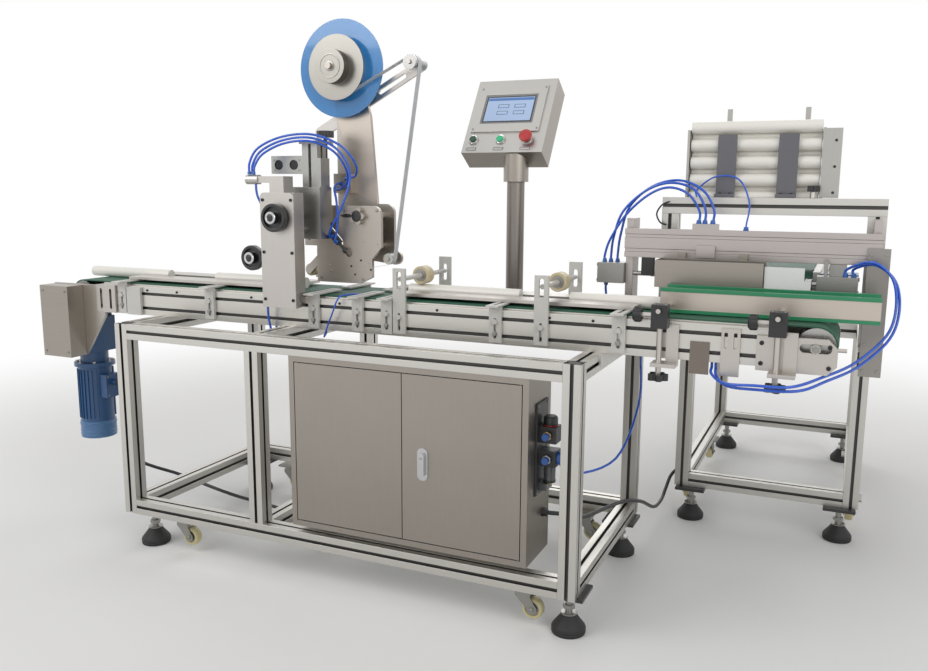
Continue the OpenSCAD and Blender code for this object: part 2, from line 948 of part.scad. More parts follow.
module head_column() {
  head() {
    for (x = rod_xs)
      rod_y(x, [-half_w - rod_reach, carriage_y[0]], rod_z_low, rod_r);
    difference() {
      block(carriage_x, carriage_y, carriage_z);
      rod_y(screw_x, [carriage_y[0] - over, carriage_y[1] + over], screw_z, screw_r + shaft_gap);
    }
    profile_z(column_z, column_x[0], carriage_y[1], column_x[1] - column_x[0], column_back - carriage_y[1]);
    block([column_x[1], carriage_x[1]], [carriage_y[1], column_back], [column_z[0], side_plate_top]);
    block(slide_rail_x, [column_back, column_back + slide_rail_t], column_z);
    difference() {
      block(cap_x, cap_y, [column_z[1], column_z[1] + cap_t]);
      rod_z(lift_screw_x, lift_screw_y, [column_z[1] - over, column_z[1] + 2 * cap_t], lift_screw_r + shaft_gap);
    }
    difference() {
      block(valve_x, valve_y, valve_z);
      for (x = socket_xs)
        rod_y(x, [valve_y[0] - over, valve_y[0] + socket_depth], (valve_z[0] + valve_z[1]) / 2, socket_r);
    }
  }
}

// Knob on the screw that lifts the head
lift_knob_r = 22;
lift_knob_gap = 9;
lift_knob_h = 17;

module height_knob() {
  z0 = column_z[1] + cap_t + lift_knob_gap;
  head() {
    rod_z(lift_screw_x, lift_screw_y, [lift_screw_low, z0], lift_screw_r);
    translate([lift_screw_x, lift_screw_y, z0])
      star_knob(lift_knob_r, lift_knob_h, star_lobe_r, 2 * star_lobes);
  }
}

// Head: a slide block, the front plate, the back plate with its mast, and what joins them
head_block_x = [475, 522];
head_block_back = -30;
head_block_z = [150, 240];
front_plate_y = [-30, -20];
back_plate_y = [30, 40];
front_top_z = 194;
front_low_z = -5;
front_x = [437, 667];
front_step_x = 474;
front_step_z = 89;
front_round = 24;
front_cut = [640, 60];
front_foot = [604, 12];
mast_top_x = 531;
mast_top_z = 539;
mast_top_r = 40;
mast_neck_x = [504, 605];
mast_neck_z = 420;
mast_root_x = [504, 623];
mast_root_z = 198;
back_right = 672;
back_low = [520, 60];
lower_x = 675;
lower_z = 60;
lower_ear = 18;
spacer_r = 8;
spacers = [[640, 168], [530, 176], [600, 96], [640, 92]];
star_x = 603;
star_z = 168;
press_angle = 47;
press_start = [516, 132];
press_slot_r = 9;
press_slot_l = 92;
press_body = 7;
press_body_l = 48;
press_stick_r = 4;
press_stick_in = 30;
press_stick_out = 20;
press_nose_r = 8;
press_nose_l = 8;
fitting_x = [505, 556];
fitting_y = [8, 30];
fitting_z = [225, 275];
reel_shaft_r = 8;
reel_shaft_end = -52;
reel_collar_r = 16;
disc_t = 4;
pin_r = 5;
wheel_x = 440;
wheel_z = 23;
wheel_r = 16.5;
wheel_arm_r = 10;
wheel_arm_root = [490, 70];
wheel_arm_t = 7;
peel_x = [462, 530];
peel_rise = 14;
peel_low = 4.4;
peel_t = 16;
peel_tip = 4;
half_tape = tape_w / 2;

module front_plate_outline() {
  difference() {
    union() {
      polygon([[front_step_x, front_low_z], [front_foot[0], front_low_z], [front_cut[0], front_foot[1]], front_cut,
        [front_x[1], front_step_z], [front_x[1], front_top_z - front_round],
        [front_x[1] - front_round, front_top_z], [front_x[0], front_top_z], [front_x[0], front_step_z],
        [front_step_x, front_step_z]]);
      translate([front_x[1] - front_round, front_top_z - front_round])
        circle(r = front_round);
    }
    translate(press_start)
      rotate(-press_angle)
        slot_x([-press_slot_r, press_slot_l], 0, press_slot_r);
  }
}

module back_plate_outline() {
  polygon([back_low, [lower_x, lower_z - lower_ear], [lower_x, lower_z + lower_ear], [back_right, front_step_z],
    [back_right, mast_root_z - front_round], [back_right - front_round, mast_root_z],
    [mast_root_x[1], mast_root_z], [mast_neck_x[1], mast_neck_z], [mast_top_x + mast_top_r, mast_top_z],
    [mast_top_x - mast_top_r, mast_top_z], [mast_neck_x[0], mast_neck_z], [mast_root_x[0], mast_root_z]]);
  translate([mast_top_x, mast_top_z])
    circle(r = mast_top_r);
  translate([lower_x, lower_z])
    circle(r = lower_ear);
  translate([back_right - front_round, mast_root_z - front_round])
    circle(r = front_round);
}

// Places a child along the press cylinder's slanting axis
module along_press() {
  translate([press_start[0], front_plate_y[0] - press_body, press_start[1]])
    rotate([0, 90 + press_angle, 0])
      children();
}

module head_plates() {
  head() {
    difference() {
      block(head_block_x, [column_back + slide_gap, head_block_back], head_block_z);
      block([slide_rail_x[0] - slide_gap, slide_rail_x[1] + slide_gap],
        [column_back, column_back + slide_rail_t + slide_gap],
        [head_block_z[0] - over, head_block_z[1] + over]);
      rod_z(lift_screw_x, lift_screw_y, [head_block_z[0] - over, head_block_z[1] + over], lift_screw_r + shaft_gap);
    }
    plate_y(front_plate_y)
      front_plate_outline();
    plate_y(back_plate_y)
      back_plate_outline();
    for (p = spacers)
      rod_y(p[0], [front_plate_y[1], back_plate_y[0]], p[1], spacer_r);
    translate([star_x, front_plate_y[0], star_z])
      rotate([90, 0, 0])
        star_knob(star_r, star_h, star_lobe_r, star_lobes);
    difference() {
      along_press()
        block([-press_body, press_body], [-press_body, press_body], [0, press_body_l]);
      along_press()
        cylinder(r = press_stick_r + shaft_gap, h = 2 * press_body_l);
    }
    block(fitting_x, [fitting_y[0], back_plate_y[0]], fitting_z);
    rod_y(mast_top_x, [reel_shaft_end, back_plate_y[0]], mast_top_z, reel_shaft_r);
    rod_y(mast_top_x, [half_tape + disc_t + slide_gap, back_plate_y[0]], mast_top_z, reel_collar_r);
    rod_y(lower_x, [-half_tape - pin_r, back_plate_y[0]], lower_z, pin_r);
    plate_y([front_plate_y[1], front_plate_y[1] + wheel_arm_t])
      wheel_arm_outline();
    rod_y(wheel_x, [front_plate_y[1], half_tape + pin_r], wheel_z, pin_r);
    plate_y([front_plate_y[1], half_tape + over])
      polygon([[peel_x[0], peel_low], [peel_x[1], peel_low + peel_rise],
        [peel_x[1], peel_low + peel_rise + peel_t], [peel_x[0] + peel_t, peel_low + peel_t + peel_tip],
        [peel_x[0], peel_low + peel_tip]]);
  }
}

module wheel_arm_outline() {
  dx = wheel_arm_root[0] - wheel_x;
  dz = wheel_arm_root[1] - wheel_z;
  translate([wheel_x, wheel_z])
    rotate(atan2(dz, dx)) {
      circle(r = wheel_arm_r);
      translate([0, -wheel_arm_r])
        square([sqrt(dx * dx + dz * dz), 2 * wheel_arm_r]);
    }
}

module press_rod() {
  head()
    along_press() {
      translate([0, 0, press_body_l - press_stick_in])
        cylinder(r = press_stick_r, h = press_stick_in + press_stick_out);
      translate([0, 0, press_body_l + press_stick_out])
        cylinder(r = press_nose_r, h = press_nose_l);
    }
}

// Rollers of the head, each with a bore for its pin
module head_roller(x, y, z, r) {
  head()
    difference() {
      rod_y(x, y, z, r);
      rod_y(x, [y[0] - over, y[1] + over], z, pin_r + shaft_gap);
    }
}

peel_roller_r = 14;
top_x = 745;
top_z = 541;
top_r = 18;
top_y = [-22, 38];
wheel_half = half_tape + over;

// Reel on the mast's shaft: clear disc behind, roll of tape, flange with a knurled hub in front
flange_t = 4;
reel_hub_r = 42;
reel_hub_t = 28;

module reel_ring(y, r) {
  head()
    difference() {
      rod_y(mast_top_x, y, mast_top_z, r);
      rod_y(mast_top_x, [y[0] - over, y[1] + over], mast_top_z, reel_shaft_r + shaft_gap);
    }
}

module reel_flange() {
  reel_ring([-half_tape - flange_t, -half_tape], flange_d / 2);
  reel_ring([-half_tape - flange_t - reel_hub_t, -half_tape - flange_t], reel_hub_r);
}

// Slotted arm bolted across the mast, with the top roller's pin at its outer end
dancer_x = 445;
dancer_z = 382;
dancer_r = 15;
dancer_t = 8;
dancer_slot_shares = [0.6, 0.86];
dancer_slot_r = 6;

module dancer_arm() {
  dx = top_x - dancer_x;
  dz = top_z - dancer_z;
  span = sqrt(dx * dx + dz * dz);
  head() {
    plate_y([back_plate_y[1], back_plate_y[1] + dancer_t])
      translate([dancer_x, dancer_z])
        rotate(atan2(dz, dx))
          difference() {
            slot_x([-dancer_r, span + dancer_r], 0, dancer_r);
            slot_x([dancer_slot_shares[0] * span, dancer_slot_shares[1] * span], 0, dancer_slot_r);
          }
    rod_y(top_x, [top_y[0] - pin_r, back_plate_y[1]], top_z, pin_r);
  }
}

// Tape strip: from the roll over the top roller and round the lower one to the peel bar
tape_t = 0.6;
arc_steps = 10;

function tangent_angle(c1, r1, c2, r2) =
  atan2(c2[1] - c1[1], c2[0] - c1[0]) - acos((r1 - r2) / norm(c2 - c1));
function on_circle(c, r, a) = c + r * [cos(a), sin(a)];
function wrap_points(c, r, a1, a2) =
  [for (i = [0 : arc_steps]) on_circle(c, r, a1 + (a2 - a1) * i / arc_steps)];

// Points of the strip at an offset to the left of its middle line
function strip_points(offset) =
  let (roll = [mast_top_x, mast_top_z], top = [top_x, top_z], low = [lower_x, lower_z],
    tip = [peel_x[0], peel_low - slide_gap - tape_t / 2],
    rr = roll_d / 2 + slide_gap + tape_t / 2 - offset,
    rt = -(top_r + slide_gap + tape_t / 2) - offset,
    rl = -(peel_roller_r + slide_gap + tape_t / 2) - offset,
    a1 = tangent_angle(roll, rr, top, rt),
    a2 = tangent_angle(top, rt, low, rl),
    a3 = tangent_angle(low, rl, tip, -offset))
  concat([on_circle(roll, rr, a1)],
    wrap_points(top, rt, a1, a2 - 360 * round((a2 - a1 + 180 - over) / 360)),
    wrap_points(low, rl, a2, a3),
    [on_circle(tip, -offset, a3)]);

module tape_strip() {
  left = strip_points(tape_t / 2);
  right = strip_points(-tape_t / 2);
  head()
    plate_y([-half_tape, half_tape])
      polygon(concat(left, [for (i = [len(right) - 1 : -1 : 0]) right[i]]));
}

// Cabinet: a sheet box hung under the front rail, open at the front inside a lip
cabinet_inset = 113;
cabinet_front = 2;
cabinet_t = 2;
lip = 14;
inner_plate_gap = 60;
inner_plate_t = 3;
inner_box = [[60, 230], [250, 380]];
inner_box_shares = [0.25, 0.85];
inner_box_d = 40;
cab_x = [frame_l - cabinet_inset - cabinet_w, frame_l - cabinet_inset];
cab_y = [cabinet_front, cabinet_front + cabinet_d];
cab_z = [frame_h - profile_w - cabinet_h, frame_h - profile_w];
door_t = 16;
door_sheet = 2;
hinge_in = 4;
hinge_pin_r = 2;
hinge_pin_in = 8;
door_w = (cabinet_w - 2 * lip - 3 * seam) / 2;
door_z = [cab_z[0] + lip + seam, cab_z[1] - lip - seam];
left_door_x = cab_x[0] + lip + seam;
right_door_x = cab_x[1] - lip - seam - door_w;
hinge_y = cab_y[0] + hinge_in;
left_hinge_x = left_door_x + hinge_in;
right_hinge_x = cab_x[1] - lip - seam - hinge_in;

module cabinet_body() {
  difference() {
    block(cab_x, cab_y, cab_z);
    block([cab_x[0] + cabinet_t, cab_x[1] - cabinet_t], [cab_y[0] + cabinet_t, cab_y[1] - cabinet_t],
      [cab_z[0] + cabinet_t, cab_z[1] - cabinet_t]);
    block([cab_x[0] + lip, cab_x[1] - lip], [cab_y[0] - over, cab_y[0] + 2 * cabinet_t],
      [cab_z[0] + lip, cab_z[1] - lip]);
  }
  for (x = [left_hinge_x, right_hinge_x]) {
    rod_z(x, hinge_y, [door_z[1] - hinge_pin_in, cab_z[1] - cabinet_t], hinge_pin_r);
    rod_z(x, hinge_y, [cab_z[0] + cabinet_t, door_z[0] + hinge_pin_in], hinge_pin_r);
  }
  back = cab_y[1] - cabinet_t;
  block([cab_x[0] + inner_plate_gap, cab_x[1] - inner_plate_gap], [back - inner_plate_t, back],
    [cab_z[0] + inner_plate_gap, cab_z[1] - inner_plate_gap]);
  for (i = [0, 1])
    block([cab_x[0] + inner_box[i][0] + inner_plate_gap, cab_x[0] + inner_box[i][1] + inner_plate_gap],
      [back - inner_plate_t - inner_box_d, back - inner_plate_t],
      [cab_z[0] + inner_box_shares[0] * cabinet_h, cab_z[0] + (inner_box_shares[0] + inner_box_shares[1]) / 2 * cabinet_h]);
}

// Door: a folded pan with a hole for each hinge pin
module door_pan(x) {
  block([x, x + door_w], [cab_y[0], cab_y[0] + door_t], door_z);
}

module door_hollow(x) {
  block([x + 2 * hinge_in + seam, x + door_w - 2 * hinge_in - seam],
    [cab_y[0] + door_sheet, cab_y[0] + door_t + over],
    [door_z[0] + 2 * hinge_in + seam, door_z[1] - 2 * hinge_in - seam]);
}

module hinge_holes(x) {
  r = hinge_pin_r + shaft_gap;
  rod_z(x, hinge_y, [door_z[1] - hinge_pin_in - seam, door_z[1] + over], r);
  rod_z(x, hinge_y, [door_z[0] - over, door_z[0] + hinge_pin_in + seam], r);
}

module cabinet_door_left() {
  difference() {
    door_pan(left_door_x);
    door_hollow(left_door_x);
    hinge_holes(left_hinge_x);
  }
}

// Latch: an oblong face plate with a turning grip, its spindle and a cam behind the door
latch_in = 53;
latch_z = cab_z[0] + 203;
latch_half_w = 13;
latch_half_h = 38;
latch_plate_t = 3;
grip_half_w = 7;
grip_half_h = 27;
grip_t = 8;
spindle_r = 5;
cam_t = 3;
cam_l = 22;
cam_half = 8;
latch_x = right_door_x + latch_in;
latch_front = cab_y[0] - latch_plate_t;

module cabinet_door_right() {
  difference() {
    union() {
      difference() {
        door_pan(right_door_x);
        door_hollow(right_door_x);
      }
      plate_y([latch_front, cab_y[0]])
        round_rect([latch_x - latch_half_w, latch_x + latch_half_w],
          [latch_z - latch_half_h, latch_z + latch_half_h], latch_half_w - over);
    }
    hinge_holes(right_hinge_x);
    rod_y(latch_x, [latch_front - over, cab_y[0] + door_t], latch_z, spindle_r + shaft_gap);
  }
}

module door_latch() {
  back = cab_y[0] + door_t;
  plate_y([latch_front - slide_gap - grip_t, latch_front - slide_gap])
    round_rect([latch_x - grip_half_w, latch_x + grip_half_w],
      [latch_z - grip_half_h, latch_z + grip_half_h], grip_half_w - over);
  rod_y(latch_x, [latch_front - slide_gap, back + cam_t], latch_z, spindle_r);
  block([latch_x - cam_half, latch_x + cam_half], [back, back + cam_t], [latch_z - cam_l, latch_z + cam_half]);
}

// Air service unit on the cabinet's right side: two regulators with knobs, bowls and ports
air_plate_y = [48, 122];
air_plate_z = [150, 359];
air_plate_t = 4;
air_y = 84;
air_body_half = 19;
air_body_z = [269, 306];
air_lower_z = [216, 252];
air_knob_r = 15;
air_knob_h = 20;
air_bowl_r = 13;
air_bowl_h = 38;
air_port_r = 8;
air_port_l = 20;
air_valve_z = [160, 176];

module air_service_unit() {
  x0 = cab_x[1] + air_plate_t;
  translate([0, 0, cab_z[0]]) {
    block([cab_x[1], x0], air_plate_y, air_plate_z);
    for (z = [air_body_z, air_lower_z]) {
      block([x0, x0 + 2 * air_body_half], [air_y - air_body_half, air_y + air_body_half], z);
      rod_y(x0 + air_body_half, [air_y - air_body_half - air_port_l, air_y - air_body_half],
        (z[0] + z[1]) / 2, air_port_r);
    }
    rod_z(x0 + air_body_half, air_y, [air_body_z[1], air_body_z[1] + air_knob_h], air_knob_r);
    rod_x([x0 + 2 * air_body_half, x0 + 2 * air_body_half + air_knob_h], air_y,
      (air_lower_z[0] + air_lower_z[1]) / 2, air_knob_r);
    rod_z(x0 + air_body_half, air_y, [air_lower_z[0] - air_bowl_h, air_lower_z[0]], air_bowl_r);
    block([x0, x0 + air_body_half], [air_y - air_body_half, air_y + air_body_half], air_valve_z);
  }
}

// Console post on the main frame's rear rail, with a spigot for the console's collar
post_from_right = 364;
post_from_back = 21;
post_top = 373;
spigot_r = 20;
spigot_h = 26;
post_x = frame_l - post_from_right;
post_y = frame_d - post_from_back;
post_z = frame_h + post_top;

module hmi_post() {
  rod_z(post_x, post_y, [frame_h, post_z], post_d / 2);
  rod_z(post_x, post_y, [post_z, post_z + spigot_h], spigot_r);
}

// Console: a sheet box tilted back on its collar, with a screen panel and three button bezels
console_left = 149;
console_front = 36;
console_lift = 78;
console_tilt = 33;
console_sheet = 2;
collar_r = 34;
collar_h = 75;
panel_x_shares = [0.06, 0.91];
panel_z_shares = [0.27, 0.9];
screen_x_shares = [0.15, 0.81];
screen_z_shares = [0.38, 0.78];
panel_out = 5;
screen_in = 2;
button_x_shares = [0.12, 0.46, 0.79];
button_z_share = 0.17;
bezel_r = 14;
bezel_h = 4;
button_r = 9;
button_out = 5;
button_in = 14;
mushroom_r = 18;
mushroom_h = 10;
mushroom_lift = 8;
tag_half_w = 15;
tag_h = 9;
tag_t = 1;
tag_z = 8;

// Console pieces are measured along the sloping face from its lower left corner
module console() {
  translate([post_x - console_left, post_y - console_front, post_z + console_lift])
    rotate([-console_tilt, 0, 0])
      children();
}

module hmi_box() {
  difference() {
    union() {
      console()
        block([0, console_w], [0, console_t], [0, console_h]);
      rod_z(post_x, post_y, [post_z + slide_gap, post_z + collar_h], collar_r);
    }
    console() {
      block([console_sheet, console_w - console_sheet], [console_sheet, console_t - console_sheet],
        [console_sheet, console_h - console_sheet]);
      for (share = button_x_shares)
        rod_y(share * console_w, [-over, console_t / 2], button_z_share * console_h, button_r + shaft_gap);
    }
    rod_z(post_x, post_y, [post_z - over, post_z + spigot_h + over], spigot_r + shaft_gap);
  }
  console() {
    difference() {
      block([panel_x_shares[0] * console_w, panel_x_shares[1] * console_w], [-panel_out, 0],
        [panel_z_shares[0] * console_h, panel_z_shares[1] * console_h]);
      block([screen_x_shares[0] * console_w, screen_x_shares[1] * console_w], [-panel_out - over, screen_in - panel_out],
        [screen_z_shares[0] * console_h, screen_z_shares[1] * console_h]);
    }
    for (share = button_x_shares) {
      difference() {
        rod_y(share * console_w, [-bezel_h, 0], button_z_share * console_h, bezel_r);
        rod_y(share * console_w, [-2 * bezel_h, over], button_z_share * console_h, button_r + shaft_gap);
      }
      block([share * console_w - tag_half_w, share * console_w + tag_half_w], [-tag_t, 0], [tag_z, tag_z + tag_h]);
    }
  }
}

module console_button(share) {
  console()
    rod_y(share * console_w, [-bezel_h - button_out, button_in], button_z_share * console_h, button_r);
}

module stop_button() {
  console_button(button_x_shares[0]);
}

module start_button() {
  console_button(button_x_shares[1]);
}

module estop_button() {
  x = button_x_shares[2] * console_w;
  z = button_z_share * console_h;
  top = -bezel_h - mushroom_lift;
  console() {
    rod_y(x, [top, button_in], z, button_r);
    rod_y(x, [top - mushroom_h, top], z, mushroom_r);
  }
}

// Hopper: two posts and two cross profiles carry a floor, side plates, straps and back bars
post_out_y = [225, 265];
hopper_cross_z = 297;
hopper_low_z = 72;
hopper_floor_z = 322;
hopper_floor_t = 3;
hopper_tube_x = 55;
hopper_tube_y = 285;
hopper_rows = 9;
hopper_pitch_share = 0.7;
hopper_back = 332;
hopper_side_gap = 2;
hopper_side_t = 6;
hopper_side_z = [300, 500];
flange_w = 42;
flange_z = [338, 498];
flange_sheet = 2;
strap_xs = [121, 261];
strap_w = 45;
strap_h = 150;
strap_t = 3;
strap_clip_y = [238, 262];
strap_clip_h = 9;
back_bar_xs = [131, 312];
back_bar_w = 12;
back_bar_t = 6;
back_bar_top = 552;
hopper_knob_x = 344;
hopper_knob_z = 352;

module hopper_frame() {
  cross_top = hopper_cross_z + profile_w + joint_gap;
  left_x = hopper_tube_x - hopper_side_gap;
  right_x = hopper_tube_x + tube_l + hopper_side_gap;
  depth = post_out_y[1] - post_out_y[0];
  inside = post_out_y[1] + joint_gap;
  infeed() {
    for (x = [0, infeed_l - profile_w])
      profile_z([0, hopper_cross_z - joint_gap], x, post_out_y[0], profile_w, depth);
    profile_x([0, infeed_l], post_out_y[0], hopper_cross_z, depth, profile_w);
    profile_x([profile_w + joint_gap, infeed_l - profile_w - joint_gap], post_out_y[0], hopper_low_z, depth, profile_w);
    block([left_x + joint_gap, right_x - joint_gap], [inside, hopper_back], [hopper_floor_z - hopper_floor_t, hopper_floor_z]);
    for (x = [left_x - hopper_side_t, right_x])
      block([x, x + hopper_side_t], [inside, hopper_back], hopper_side_z);
    block([right_x, right_x + flange_w], [post_out_y[1] - flange_sheet, post_out_y[1]], flange_z);
    for (x = strap_xs) {
      block([x, x + strap_w], strap_clip_y, [cross_top, cross_top + strap_clip_h]);
      block([x, x + strap_w], [strap_clip_y[1], strap_clip_y[1] + strap_t], [cross_top, cross_top + strap_h]);
    }
    for (x = back_bar_xs)
      block([x, x + back_bar_w], [hopper_back - back_bar_t, hopper_back], [hopper_floor_z + joint_gap, back_bar_top]);
    rod_z(hopper_knob_x, (strap_clip_y[0] + strap_clip_y[1]) / 2, [cross_top, hopper_knob_z], clamp_rod_r);
    translate([hopper_knob_x, (strap_clip_y[0] + strap_clip_y[1]) / 2, hopper_knob_z])
      star_knob(knob_r, star_h, star_lobe_r / 2, star_lobes);
  }
}

// Tubes: four on the belt and the staggered stack in the hopper
tube_xs = [-350, 119, 735, infeed_x - 160];

module product_tubes() {
  row_pitch = hopper_pitch_share * tube_d;
  reach = tube_d + joint_gap;
  stagger = sqrt(reach * reach - row_pitch * row_pitch);
  for (x = tube_xs)
    rod_x([x, x + tube_l], line_y, belt_top + tube_r, tube_r);
  infeed()
    for (i = [0 : hopper_rows - 1])
      rod_x([hopper_tube_x, hopper_tube_x + tube_l], hopper_tube_y + stagger * (i % 2),
        hopper_floor_z + joint_gap + tube_r + i * row_pitch, tube_r);
}

// Gantry: a flat beam between two slotted posts, with the sheet panel on its right
gantry_x = [-70, 500];
gantry_y = [137, 157];
gantry_z = [193, 262];
gantry_left_x = [-70, -52];
gantry_left_y = 217;
gantry_left_top = 286;
gantry_right_x = [479, 495];
gantry_right_top = 292;
gantry_foot_x = [-100, -30];
gantry_foot_t = 8;
gantry_slot_w = 10;
panel_t = 10;
panel_x = [469, 515];
panel_z = [-53, 231];
port_block_x = [90, 149];
port_block_h = 14;
clevis_x = [103, 146];
clevis_z = [197, 226];
clevis_out = 12;

module gantry() {
  infeed() {
    profile_x(gantry_x, gantry_y[0], gantry_z[0], gantry_y[1] - gantry_y[0], gantry_z[1] - gantry_z[0]);
    difference() {
      block(gantry_left_x, [gantry_y[1] + joint_gap, gantry_left_y], [beam_h + gantry_foot_t, gantry_left_top]);
      block([gantry_left_x[0] - over, gantry_left_x[1] + over],
        [(gantry_y[1] + gantry_left_y - gantry_slot_w) / 2, (gantry_y[1] + gantry_left_y + gantry_slot_w) / 2],
        [gantry_z[0], gantry_z[1]]);
      rod_x([gantry_left_x[0] - over, gantry_left_x[1] + over], left_cyl_y, left_cyl_z, stick_r + shaft_gap);
    }
    block(gantry_foot_x, [inner_w + bed_edge + over, gantry_left_y], [beam_h, beam_h + gantry_foot_t]);
    block(gantry_right_x, [gantry_y[1] + joint_gap, gantry_left_y], [0, gantry_right_top]);
    block(gantry_right_x, gantry_y, [0, gantry_z[0] - joint_gap]);
    block(panel_x, [gantry_y[0] - panel_t, gantry_y[0] - joint_gap], panel_z);
    block(port_block_x, gantry_y, [gantry_z[1], gantry_z[1] + port_block_h]);
    block(clevis_x, [gantry_y[0] - clevis_out, gantry_y[0]], clevis_z);
  }
}

// Feed tray: an open sheet channel hung on the gantry
tray_x = [23, 262];
tray_y = [55, 125];
tray_z = [132, 195];
tray_t = 2;
hanger_xs = [60, 200];
hanger_w = 20;
hanger_drop = 14;

module feed_tray() {
  infeed() {
    difference() {
      block(tray_x, tray_y, tray_z);
      block([tray_x[0] + tray_t, tray_x[1] + over], [tray_y[0] + tray_t, tray_y[1] - tray_t],
        [tray_z[0] + tray_t, tray_z[1] + over]);
    }
    for (x = hanger_xs)
      block([x, x + hanger_w], [tray_y[1], gantry_y[0]], [tray_z[1] - hanger_drop, tray_z[1] + hanger_drop]);
  }
}

// Air cylinders with their rods, on the gantry post and under the beam
stick_r = 6;
left_cyl_x = [-137, -70];
left_cyl_y = 165;
left_cyl_z = 152;
left_cyl_half = 25;
left_stick_in = 50;
left_stick_end = -8;
left_nut_r = 7;
left_nut_l = 10;
clamp_block_x = [-27, 2];
clamp_drop = 43;
right_cyl_x = [370, 455];
right_cyl_y = 120;
right_cyl_z = 148;
right_cyl_half = 20;
right_stick_in = 80;
cyl_mount_x = [395, 430];
lever_x = [384, 392];
lever_h = 34;

module air_cylinders() {
  infeed() {
    difference() {
      block(left_cyl_x, [left_cyl_y - left_cyl_half, left_cyl_y + left_cyl_half],
        [left_cyl_z - left_cyl_half, left_cyl_z + left_cyl_half]);
      rod_x([left_cyl_x[1] - left_stick_in - seam, left_cyl_x[1] + over], left_cyl_y, left_cyl_z,
        stick_r + shaft_gap);
    }
    block(clamp_block_x, gantry_y, [gantry_z[0] - clamp_drop, gantry_z[0]]);
    difference() {
      block(right_cyl_x, [right_cyl_y - right_cyl_half, right_cyl_y + right_cyl_half],
        [right_cyl_z - right_cyl_half, right_cyl_z + right_cyl_half]);
      rod_x([right_cyl_x[0] - over, right_cyl_x[0] + right_stick_in + seam], right_cyl_y, right_cyl_z,
        stick_r + shaft_gap);
    }
    block(cyl_mount_x, [right_cyl_y, gantry_y[1]], [right_cyl_z + right_cyl_half, gantry_z[0]]);
    block(lever_x, [right_cyl_y - right_cyl_half, right_cyl_y], [right_cyl_z + right_cyl_half,
      right_cyl_z + right_cyl_half + lever_h]);
  }
}

module side_rod() {
  infeed() {
    rod_x([left_cyl_x[1] - left_stick_in, left_stick_end], left_cyl_y, left_cyl_z, stick_r);
    rod_x([left_stick_end, left_stick_end + left_nut_l], left_cyl_y, left_cyl_z, left_nut_r);
  }
}

// Pusher: a rod, its end block and the white panel that slides into the tray
pusher_panel_x = [264, 347];
pusher_panel_y = [60, 64];
pusher_panel_z = [135, 188];
pusher_block_x = [347, 361];
pusher_block_half = 11;

module pusher_rod() {
  infeed() {
    rod_x([pusher_block_x[1], right_cyl_x[0] + right_stick_in], right_cyl_y, right_cyl_z, stick_r);
    block(pusher_block_x, [pusher_panel_y[0], right_cyl_y + pusher_block_half],
      [right_cyl_z - pusher_block_half, right_cyl_z + pusher_block_half]);
    block(pusher_panel_x, pusher_panel_y, pusher_panel_z);
  }
}

// Infeed conveyor: side beams on legs, a nose bar at the back, its drive box and a side shelf
feed_beam_xs = [105, 360];
feed_beam_t = 15;
feed_front_end = 160;
feed_end_in = 25;
feed_beam_y = [feed_front_end, infeed_y + infeed_d - line_y - feed_end_in];
feed_beam_z = [112, 172];
feed_leg_in = 5;
feed_leg_y = infeed_y - line_y + feed_leg_in;
feed_leg_w = 30;
feed_belt_top = 175;
feed_belt_r = 28;
feed_belt_t = 2.5;
feed_front_y = 192;
feed_nose_in = 32;
feed_nose_y = feed_beam_y[1] - feed_nose_in;
feed_box_l = 80;
feed_box_y = [170, 245];
feed_box_z = [113, 168];
feed_shelf_x = 50;
feed_shelf_y = [265, 900];
feed_shelf_z = [150, 156];
feed_shaft_r = 8;
feed_bed_t = 3;
feed_bed_margin = 40;

module infeed_conveyor() {
  box_x = feed_beam_xs[1] + feed_beam_t + joint_gap;
  inner = [feed_beam_xs[0] + feed_beam_t + joint_gap, feed_beam_xs[1] - joint_gap];
  axis = feed_belt_top - feed_belt_r;
  infeed() {
    for (x = feed_beam_xs) {
      difference() {
        block([x, x + feed_beam_t], feed_beam_y, feed_beam_z);
        rod_x([x - over, x + feed_beam_t + over], feed_front_y, axis, feed_shaft_r + shaft_gap);
      }
      for (y = [feed_leg_y, feed_beam_y[1] - feed_leg_w])
        block([x, x + feed_beam_t], [y, y + feed_leg_w], [0, feed_beam_z[0] - joint_gap]);
    }
    rod_x(inner, feed_nose_y, axis, feed_belt_r - feed_belt_t);
    block(inner, [feed_front_y + feed_bed_margin, feed_nose_y - feed_bed_margin],
      [feed_belt_top - feed_belt_t - feed_bed_t, feed_belt_top - feed_belt_t]);
    difference() {
      block([box_x, box_x + feed_box_l], feed_box_y, feed_box_z);
      rod_x([feed_beam_xs[1], box_x + feed_box_l / 2], feed_front_y, axis, feed_shaft_r + shaft_gap);
    }
    block([feed_shelf_x, feed_beam_xs[0] - joint_gap], feed_shelf_y, feed_shelf_z);
  }
}

module feed_belt_outline(inset) {
  axis = feed_belt_top - feed_belt_r;
  r = feed_belt_r - inset;
  for (y = [feed_front_y, feed_nose_y])
    translate([y, axis])
      circle(r = r);
  translate([feed_front_y, axis - r])
    square([feed_nose_y - feed_front_y, 2 * r]);
}

// Both belts, the long one and the one under the hopper
module conveyor_belts() {
  main_belt();
  infeed()
    plate_x([feed_beam_xs[0] + feed_beam_t + over, feed_beam_xs[1] - over])
      difference() {
        feed_belt_outline(0);
        feed_belt_outline(feed_belt_t);
      }
}

module infeed_drive_roller() {
  axis = feed_belt_top - feed_belt_r;
  infeed() {
    rod_x([feed_beam_xs[0] + feed_beam_t + over, feed_beam_xs[1] - over], feed_front_y, axis,
      feed_belt_r - feed_belt_t - slide_gap);
    rod_x([feed_beam_xs[0], feed_beam_xs[1] + feed_beam_t + feed_box_l / 4], feed_front_y, axis, feed_shaft_r);
  }
}

// Hoses and cables: one tube each, swept with a ring at every point of its route
hose_r = 3;
thin_hose_r = 2;
cable_r = 5;
hose_sides = 8;

